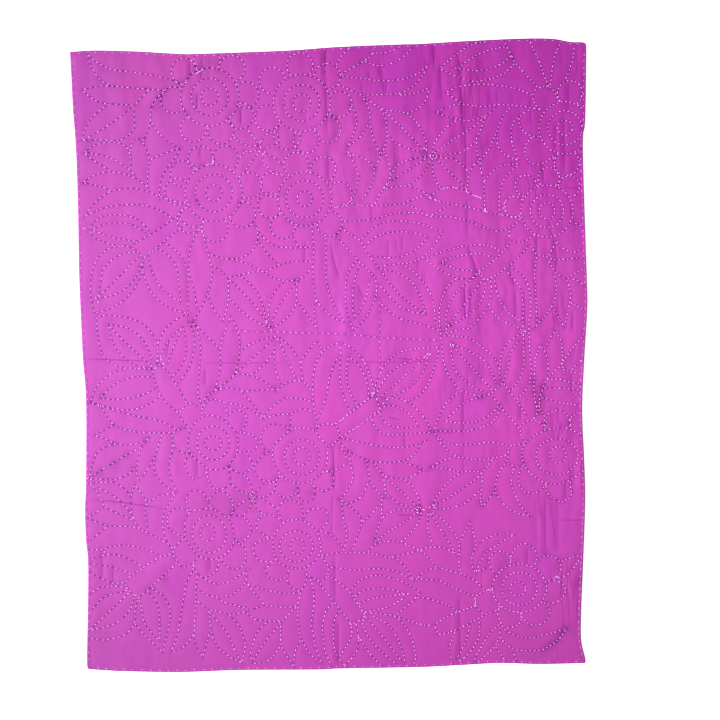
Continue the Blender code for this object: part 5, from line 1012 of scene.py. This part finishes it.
def stained(tree, colour, place, axes):
    # one faint uneven patch
    x, y, wide, high = clothFinish["stainPlace"]
    sides = []
    for axis, middle, half in zip((axes["X"], axes["Y"]), toCloth(x, y), (wide, high)):
        side = times(tree, addMath(tree, "SUBTRACT", axis, middle), 1 / (half * chart["step"]))
        sides.append(times(tree, side, side))
    away = addMath(tree, "SQRT", addMath(tree, "ADD", *sides))
    uneven = graded(tree, stretchedNoise(tree, place, (40, 40, 1)), 0.9, -0.45)
    amount = softStep(tree, addMath(tree, "ADD", away, uneven), 1.2, 0.4)
    return mixColours(tree, times(tree, amount, clothFinish["stainStrength"]), colour, clothFinish["stain"])


def inked(tree, colour, place, axes):
    # tracing ink along the two nearest sewn lines, in the shade of their valleys
    patchy = softStep(tree, stretchedNoise(tree, place, (260, 260, 1)), 0.30, 0.62)
    worn = softStep(tree, stretchedNoise(tree, place, (14, 14, 1)), 0.30, 0.70)
    density = times(tree, graded(tree, patchy, 0.55, 0.45), graded(tree, worn, 0.55, 0.45))
    # where ink and painted shade gather between crowded stitches, the line grows darker and wider
    inkAndShadeAmount = addNode(tree, "ShaderNodeAttribute", attribute_name="inkAndShadePooled").outputs["Fac"]
    density = graded(tree, inkAndShadeAmount, 0.8, density, clamp=True)
    spread = graded(tree, inkAndShadeAmount, 0.5, 1.0)
    half, between = clothFinish["inkHalfWidth"], clothFinish["inkBetween"]
    steps = keptPair(tree, "seamSteps")
    lines, valleys = [], []
    for name, step in (("seamNear", steps["X"]), ("seamNext", steps["Y"])):
        pair = keptPair(tree, name)
        across = addMath(tree, "DIVIDE", addMath(tree, "ABSOLUTE", pair["X"]), spread)
        valleys.append(softStep(tree, across, 0.42, 0.05))
        line = softStep(tree, across, half * 1.35, half * 0.65)
        line = times(tree, line, softStep(tree, pair["Y"], 0.08, 0.0))
        gap = addMath(tree, "ABSOLUTE", addMath(tree, "SUBTRACT", addMath(tree, "FRACT", step), 0.5))
        stitched = graded(tree, softStep(tree, gap, 0.12, 0.28), 1 - between, between)
        lines.append(times(tree, line, stitched))
    lines, valley = addMath(tree, "MAXIMUM", *lines), addMath(tree, "MAXIMUM", *valleys)
    fresh = graded(tree, axes["Y"], 0.22, graded(tree, axes["X"], -0.20, 0.93))
    ink = times(tree, times(tree, lines, density), clothFinish["inkStrength"])
    ink = addMath(tree, "MULTIPLY", ink, fresh, clamp=True)
    # ink spread on the cloth, with painted shade between the crowded stitches
    smudgeAndShade = times(tree, times(tree, inkAndShadeAmount, patchy), clothFinish["smudgeAndShade"])
    valley = times(tree, valley, graded(tree, axes["X"], 0.10, clothFinish["seamShade"]))
    colour = mixColours(tree, valley, colour, clothFinish["shade"])
    return mixColours(tree, addMath(tree, "MAXIMUM", ink, smudgeAndShade), colour, clothFinish["ink"])


def fineWrinkles(tree, place, axes):
    # short upright wrinkles, mostly to the right, from 0 to 1
    wrinkle = stretchedNoise(tree, place, (50, 8, 1))
    line = softStep(tree, addMath(tree, "ABSOLUTE", graded(tree, wrinkle, 2.0, -1.0)), 0.16, 0.0)
    where = softStep(tree, stretchedNoise(tree, place, (13, 9, 3), detail=1.0), 0.50, 0.68)
    rightward = softStep(tree, graded(tree, axes["Y"], 0.35, axes["X"]), -0.05, 0.42)
    return times(tree, line, times(tree, where, graded(tree, rightward, 0.85, 0.10)))


def shadedFolds(tree, colour, wrinkles):
    amount = times(tree, wrinkles, clothFinish["wrinkleShade"])
    colour = mixColours(tree, amount, colour, clothFinish["shade"])
    pair = keptPair(tree, "creaseNear")
    line = softStep(tree, addMath(tree, "ABSOLUTE", pair["X"]), 0.65, 0.05)
    line = times(tree, times(tree, line, pair["Y"]), clothFinish["creaseShade"])
    return mixColours(tree, line, colour, clothFinish["shade"])


def paintedFalloff(tree, colour, axes):
    # painted shade: the colour is scaled darker towards the top, the bottom and the left, where less light
    # falls
    fromLeft = addMath(tree, "POWER", addMath(tree, "ADD", axes["X"], -0.15), 2.0)
    squared = times(tree, axes["Y"], axes["Y"])
    paintedFalloffScale = addNode(tree, "ShaderNodeVectorMath", operation="SCALE")
    tree.links.new(colour, paintedFalloffScale.inputs[0])
    tree.links.new(graded(tree, fromLeft, -0.40, graded(tree, squared, -0.56, 1.0)), paintedFalloffScale.inputs["Scale"])
    return paintedFalloffScale.outputs[0]


def addBump(tree, height, depth, strength, under=None):
    bump = addNode(tree, "ShaderNodeBump", {"Distance": depth, "Strength": strength})
    tree.links.new(height, bump.inputs["Height"])
    feed(tree, under, bump.inputs["Normal"])
    return bump.outputs["Normal"]


def clothMaterial():
    material, tree, shader = newMaterial("orchidCotton", {
        "Roughness": clothFinish["roughness"], "Specular IOR Level": clothFinish["gloss"],
        "Sheen Weight": clothFinish["sheen"], "Sheen Roughness": clothFinish["sheenRoughness"],
        "Sheen Tint": clothFinish["sheenTint"]})
    place = addNode(tree, "ShaderNodeTexCoord").outputs["Object"]
    axes = splitAxes(tree, place)
    colour = cottonAndPaintedLight(tree, place, axes)
    colour = stained(tree, colour, place, axes)
    colour = inked(tree, colour, place, axes)
    wrinkles = fineWrinkles(tree, place, axes)
    colour = shadedFolds(tree, colour, wrinkles)
    # the base colour is darkened by the painted shade of a light falloff
    tree.links.new(paintedFalloff(tree, colour, axes), shader.inputs["Base Color"])
    weave = addNode(tree, "ShaderNodeGroup", node_tree=plainWeave())
    weave.inputs["Threads"].default_value = clothFinish["weaveThreads"]
    tree.links.new(place, weave.inputs["Vector"])
    fine = addBump(tree, weave.outputs["Height"], clothFinish["weaveDepth"], 0.6)
    broad = addBump(tree, times(tree, wrinkles, -1.0), clothFinish["wrinkleDepth"], 0.8, fine)
    tree.links.new(broad, shader.inputs["Normal"])
    return material


threadFinish = {
    "white": (1.00, 0.43, 1.00, 1),
    "pink": (0.98, 0.26, 0.94, 1),
    "pinkShare": 0.7,
    "roughness": 0.5,
    "gloss": 0.4,
    "sheen": 0.3,
    "twist": (2600, 2600, 900),
    "twistDepth": 0.00008,
}


def threadMaterial():
    material, tree, shader = newMaterial("whiteSewingThread", {
        "Roughness": threadFinish["roughness"], "Sheen Weight": threadFinish["sheen"],
        "Specular IOR Level": threadFinish["gloss"]})
    place = addNode(tree, "ShaderNodeTexCoord").outputs["Object"]
    tone = softStep(tree, stretchedNoise(tree, place, (120, 120, 1), detail=1.0), 0.35, 0.75)
    tone = times(tree, tone, threadFinish["pinkShare"])
    tree.links.new(mixColours(tree, tone, threadFinish["white"], threadFinish["pink"]),
                   shader.inputs["Base Color"])
    twist = stretchedNoise(tree, place, threadFinish["twist"], detail=1.0)
    tree.links.new(addBump(tree, twist, threadFinish["twistDepth"], 0.6), shader.inputs["Normal"])
    return material


stitches = {
    "pitch": 0.0085,         # metres from one motif stitch to the next, in the middle
    "pitchChange": 0.0022,   # less to each metre rightwards
    "guidePitch": 0.0115,
    "borderPitch": {"top": 0.0152, "bottom": 0.0160, "left": 0.0138, "right": 0.0118},
    "length": 0.0039,
    "borderLength": 0.0034,
    "radius": 0.00056,
    "borderHeft": 0.80,      # how thick the border's are beside the rest
    "wander": 0.09,          # of a pitch to each side
    "spread": (0.36, 0.64),  # half lengths, as shares of the length
    "lean": 0.0002,          # metres an end can stray from the line
    "aside": 0.00035,        # and the whole stitch
    "girth": (0.72, 1.28),
    "seed": 11,
}

stitchShape = (  # along, height in radii, thickness
    (0, -0.9, 0.45), (0.16, 0.25, 0.95), (0.5, 0.62, 1.05), (0.84, 0.25, 0.95), (1, -0.9, 0.45),
)
underShape = ((0, -0.8, 0.5), (0.5, 0.4, 0.85), (1, -0.8, 0.5))
looseShape = ((0, -0.9, 0.7), (0.1, 0.3, 1.2), (0.5, 0.7, 1.3), (0.9, 0.3, 1.2), (1, -0.9, 0.7))


def stitchRuns(line, pitch, length, dice, under):
    # start and end of each stitch along a line; the underside shows where the face has gaps
    walked = walkAlong(line)
    count = max(1, round(walked[-1] / pitch))
    step = walked[-1] / count
    runs = []
    for i in range(count):
        middle = (i + (1.0 if under else 0.5)) * step
        middle += dice.uniform(-stitches["wander"], stitches["wander"]) * step
        half = min(length, step * 0.62) * dice.uniform(*stitches["spread"])
        low, high = max(0, middle - half), min(walked[-1], middle + half)
        if high - low > length * 0.4:
            runs.append((low, high, walked))
    return runs


def stitchPoints(line, run, bed, dice, heft, under):
    # one stitch lying on the cloth, its two ends going into it
    low, high, walked = run
    lean = dice.uniform(-stitches["lean"], stitches["lean"])
    aside = dice.uniform(-stitches["aside"], stitches["aside"])
    girth = dice.uniform(*stitches["girth"]) * heft
    side = -1 if under else 1
    ahead = 0.0005                                # metres on, to see which way the line runs
    points = []
    for t, rise, width in underShape if under else stitchShape:
        spot = low + (high - low) * t
        (x, nextX), (y, nextY) = (np.interp([spot, spot + ahead], walked, line[:, axis]) for axis in (0, 1))
        turned = (lean * (t - 0.5) * 2 + aside) / ahead
        x, y = x - (nextY - y) * turned, y + (nextX - x) * turned
        hit = bed.ray_cast(Vector((x, y, 0.05 * side)), Vector((0, 0, -side)))[0]
        if hit is None:
            return None
        height = hit.z + side * rise * stitches["radius"]
        lowest = stitches["radius"] * width * girth + 0.00002        # just clear of the surface below
        points.append((x, y, max(height, lowest), width * girth))
    return points


def sewLine(line, pitch, length, bed, dice, heft, under):
    return [stitchPoints(line, run, bed, dice, heft, under)
            for run in stitchRuns(line, pitch, length, dice, under)]


def looseRow(x0, y0, x1, y1, bed):
    # a long or stray stitch, thicker than the rest
    points = []
    for t, rise, width in looseShape:
        spot = toCloth(x0 + (x1 - x0) * t, y0 + (y1 - y0) * t)
        hit = bed.ray_cast(Vector((spot.x, spot.y, 0.05)), Vector((0, 0, -1)))[0]
        points.append((spot.x, spot.y, hit.z + rise * stitches["radius"], width))
    return points


looseStitches = [  # x0, y0, x1, y1 in chart steps
    (472.8, 195, 482.5, 198.7), (485.3, 208, 485.5, 212), (483.8, 211, 488.5, 212.6), (87, 479, 89.4, 477.4),
    (416.3, 509.5, 418.7, 509.5), (421.8, 509.3, 425.5, 509.7), (433.5, 505.4, 436, 505.2),
    (433.3, 507.6, 436, 507.4), (429.3, 507.6, 431, 506.4), (416.5, 512.5, 419, 512.5),
    (488.3, 589, 490.6, 590.8), (492.2, 588, 492.6, 590.8), (423.4, 148.8, 426.6, 148.4),
    (432.2, 156.4, 434.6, 155), (430.4, 154.6, 430.8, 157), (371.6, 392.4, 373.6, 395),
    (373.4, 391.6, 374.6, 394.4), (376.2, 399.2, 378.4, 398.4), (386.2, 399.6, 388.8, 399),
    (382.6, 403.6, 385, 402.8), (402.6, 594.6, 405, 594), (407.2, 594.2, 409.8, 593.6),
    (475, 598.4, 475.4, 600.8), (475.6, 602.6, 475.2, 605.4), (569.6, 418.4, 570.2, 421),
    (570.8, 423.4, 570.4, 426.4), (349.8, 623, 352, 624.8), (358, 637, 360.2, 638.6),
    (555, 576, 557.2, 577.8), (545, 484, 546.8, 486), (499, 606, 501.4, 607.4), (520, 613, 522.4, 614.2),
    (150.4, 366, 153, 365.4), (154.6, 368.4, 157, 367.6), (156.6, 360.6, 159, 361.6),
    (160.6, 358, 162.4, 360.4), (163, 363, 165, 365), (266, 321.6, 267, 324.4), (270.6, 329, 272.4, 330.6),
    (274, 336, 276.4, 337), (277, 339.6, 279, 338.4), (251.4, 495.6, 253.8, 496), (252.6, 498.4, 255, 498),
    (195.5, 74.4, 203.5, 69.6), (184.6, 83, 187.6, 82), (428.5, 196.8, 431.8, 198.8),
    (434, 199.6, 437.6, 200.8), (442, 189.4, 444.6, 188.4), (446.4, 187.8, 449, 187.6),
    (455, 187.8, 458, 188.2), (466, 191, 468.4, 193), (424, 357.4, 426.4, 355.8), (426.8, 355, 428.6, 353),
    (429, 355.4, 431, 353.4), (426, 358.6, 428.4, 357.4), (259.4, 143.4, 261.4, 141.8),
    (260.6, 146, 261.2, 148.6), (258.8, 150.8, 260.6, 152.6), (263, 153.6, 265, 154.2),
    (207.4, 165.2, 210, 163.8), (211.8, 163, 214.2, 164.2), (212.6, 158.8, 213.8, 161.2), (84, 228, 86, 229),
    (95.6, 297, 97, 299.4), (98, 300.6, 99, 303), (341.6, 500, 343.6, 501.6), (278, 620, 280, 622),
    (134.6, 594.6, 137, 595.6), (133, 517, 135, 519), (450.4, 343, 450.8, 346), (452, 344, 454, 346.4),
]


def makeThreads(name, rows, material):
    rows = [row for row in rows if row]
    curve = bpy.data.curves.new(name, "CURVE")
    curve.dimensions = "3D"
    curve.bevel_depth = stitches["radius"]
    curve.bevel_resolution = 0
    curve.use_fill_caps = True
    for points in rows:
        spline = curve.splines.new("POLY")
        spline.points.add(len(points) - 1)
        spline.points.foreach_set("co", [value for x, y, z, _ in points for value in (x, y, z, 1)])
        spline.points.foreach_set("radius", [width for _, _, _, width in points])
    holder = newPiece(name + "Curve", curve)
    view = bpy.context.evaluated_depsgraph_get()
    mesh = bpy.data.meshes.new_from_object(holder.evaluated_get(view))
    mesh.name = name
    bpy.data.objects.remove(holder, do_unlink=True)
    bpy.data.curves.remove(curve)
    mesh.shade_smooth()
    mesh.materials.clear()
    mesh.materials.append(material)
    piece = newPiece(name, mesh)
    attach(piece, "root")
    print(name, len(rows), "stitches,", triangles(mesh), "triangles")
    return piece


def triangles(mesh):
    return sum(len(face.vertices) - 2 for face in mesh.polygons)


sideCurves = {name: smoothCurve([toCloth(x, y) for x, y in rows], 400) for name, rows in edges.items()}


def rimDistance(x, y):
    # how far inside the four sides a place is
    top, bottom, left, right = (sideCurves[name] for name in ("top", "bottom", "left", "right"))
    return min(np.interp(x, top[:, 0], top[:, 1]) - y, y - np.interp(x, bottom[:, 0], bottom[:, 1]),
               x - np.interp(-y, -left[:, 1], left[:, 0]), np.interp(-y, -right[:, 1], right[:, 0]) - x)


def insideRim(line):
    # the parts of a line that stay inside the border, as separate lines
    parts = [[]]
    for point in line:
        if rimDistance(*point) > cloth["motifInset"]:
            parts[-1].append(point)
        elif parts[-1]:
            parts.append([])
    return [np.array(part) for part in parts if len(part) > 2]


def borderLines():
    inset = cloth["borderInset"]
    shifts = {"top": (0, -inset), "bottom": (0, inset), "left": (inset, 0), "right": (-inset, 0)}
    return [(name, (sideCurves[name] + np.array(shift))[4:-4]) for name, shift in shifts.items()]


seams = [part for line in seams[:motifCount] for part in insideRim(line)] + seams[motifCount:]
motifCount = len(seams) - len(guides)
clothTree = sewnTree()
quilt = makeCloth(clothTree)
markSeams(quilt.data, clothTree)
markCreases(quilt.data)
markInkAndShade(quilt.data)
quilt.data.materials.append(clothMaterial())
print("cloth made:", triangles(quilt.data), "triangles")

dice = random.Random(stitches["seed"])
bed = BVHTree.FromPolygons([vert.co for vert in quilt.data.vertices],
                           [tuple(face.vertices) for face in quilt.data.polygons])
sewn = {"motif": [], "guide": [], "border": [], "under": []}
for under in (False, True):
    for index, line in enumerate(seams):
        rows = sewn["under" if under else "motif" if index < motifCount else "guide"]
        rows += sewLine(line, seamPitch(line, index), stitches["length"], bed, dice, 1.0, under)
    for name, line in borderLines():
        rows = sewn["under" if under else "border"]
        rows += sewLine(line, stitches["borderPitch"][name], stitches["borderLength"], bed, dice,
                        stitches["borderHeft"], under)
sewn["guide"] += [looseRow(*row, bed) for row in looseStitches]
half = len(sewn["motif"]) // 2
thread = threadMaterial()
pieces = [
    makeThreads("motifStitchesA", sewn["motif"][:half], thread),
    makeThreads("motifStitchesB", sewn["motif"][half:], thread),
    makeThreads("guideStitches", sewn["guide"], thread),
    makeThreads("borderStitches", sewn["border"], thread),
    makeThreads("underStitches", sewn["under"], thread),
]
print("sewing done")

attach(quilt, "root")
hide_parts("quilt")

stage = {
    "floorSize": 6,              # half its width in metres
    "floor": (0.90, 0.90, 0.90, 1),
    "floorGlow": 0.6,
    "sky": 0.40,
    "keyPower": 970,
    "keyPlace": (-6.0, -0.4, 4.1),
    "keySize": 2.4,
    "cameraHeight": 3.06,
    "cameraPoint": (360, 360),   # chart point in the middle of the view
    "lens": 85,
    "film": 36,
}


def makeFloor():
    maker = bmesh.new()
    bmesh.ops.create_grid(maker, x_segments=1, y_segments=1, size=stage["floorSize"])
    mesh = bpy.data.meshes.new("floor")
    maker.to_mesh(mesh)
    maker.free()
    material, _, _ = newMaterial("paleFloor", {
        "Base Color": stage["floor"], "Roughness": 0.9, "Emission Color": (1, 1, 1, 1),
        "Emission Strength": stage["floorGlow"]})
    mesh.materials.append(material)
    floor = newPiece("floor", mesh)


def makeLights():
    world = bpy.data.worlds.new("studio")
    world.use_nodes = True
    sky = world.node_tree.nodes["Background"].inputs
    sky["Color"].default_value = (1, 1, 1, 1)
    sky["Strength"].default_value = stage["sky"]
    bpy.context.scene.world = world
    light = bpy.data.lights.new("key", "AREA")
    light.energy = stage["keyPower"]
    light.size = stage["keySize"]
    key = newPiece("key", light)
    key.location = stage["keyPlace"]
    key.rotation_euler = (-Vector(stage["keyPlace"])).to_track_quat("-Z", "Y").to_euler()


def makeCamera():
    lens = bpy.data.cameras.new("camera")
    lens.lens = stage["lens"]
    lens.sensor_width = stage["film"]
    camera = newPiece("camera", lens)
    middle = toCloth(*stage["cameraPoint"])
    camera.location = (middle.x, middle.y, stage["cameraHeight"])
    bpy.context.scene.camera = camera


makeFloor()
makeLights()
makeCamera()
bpy.context.scene.view_settings.view_transform = "Standard"
bpy.context.view_layer.update()
print("stage set")
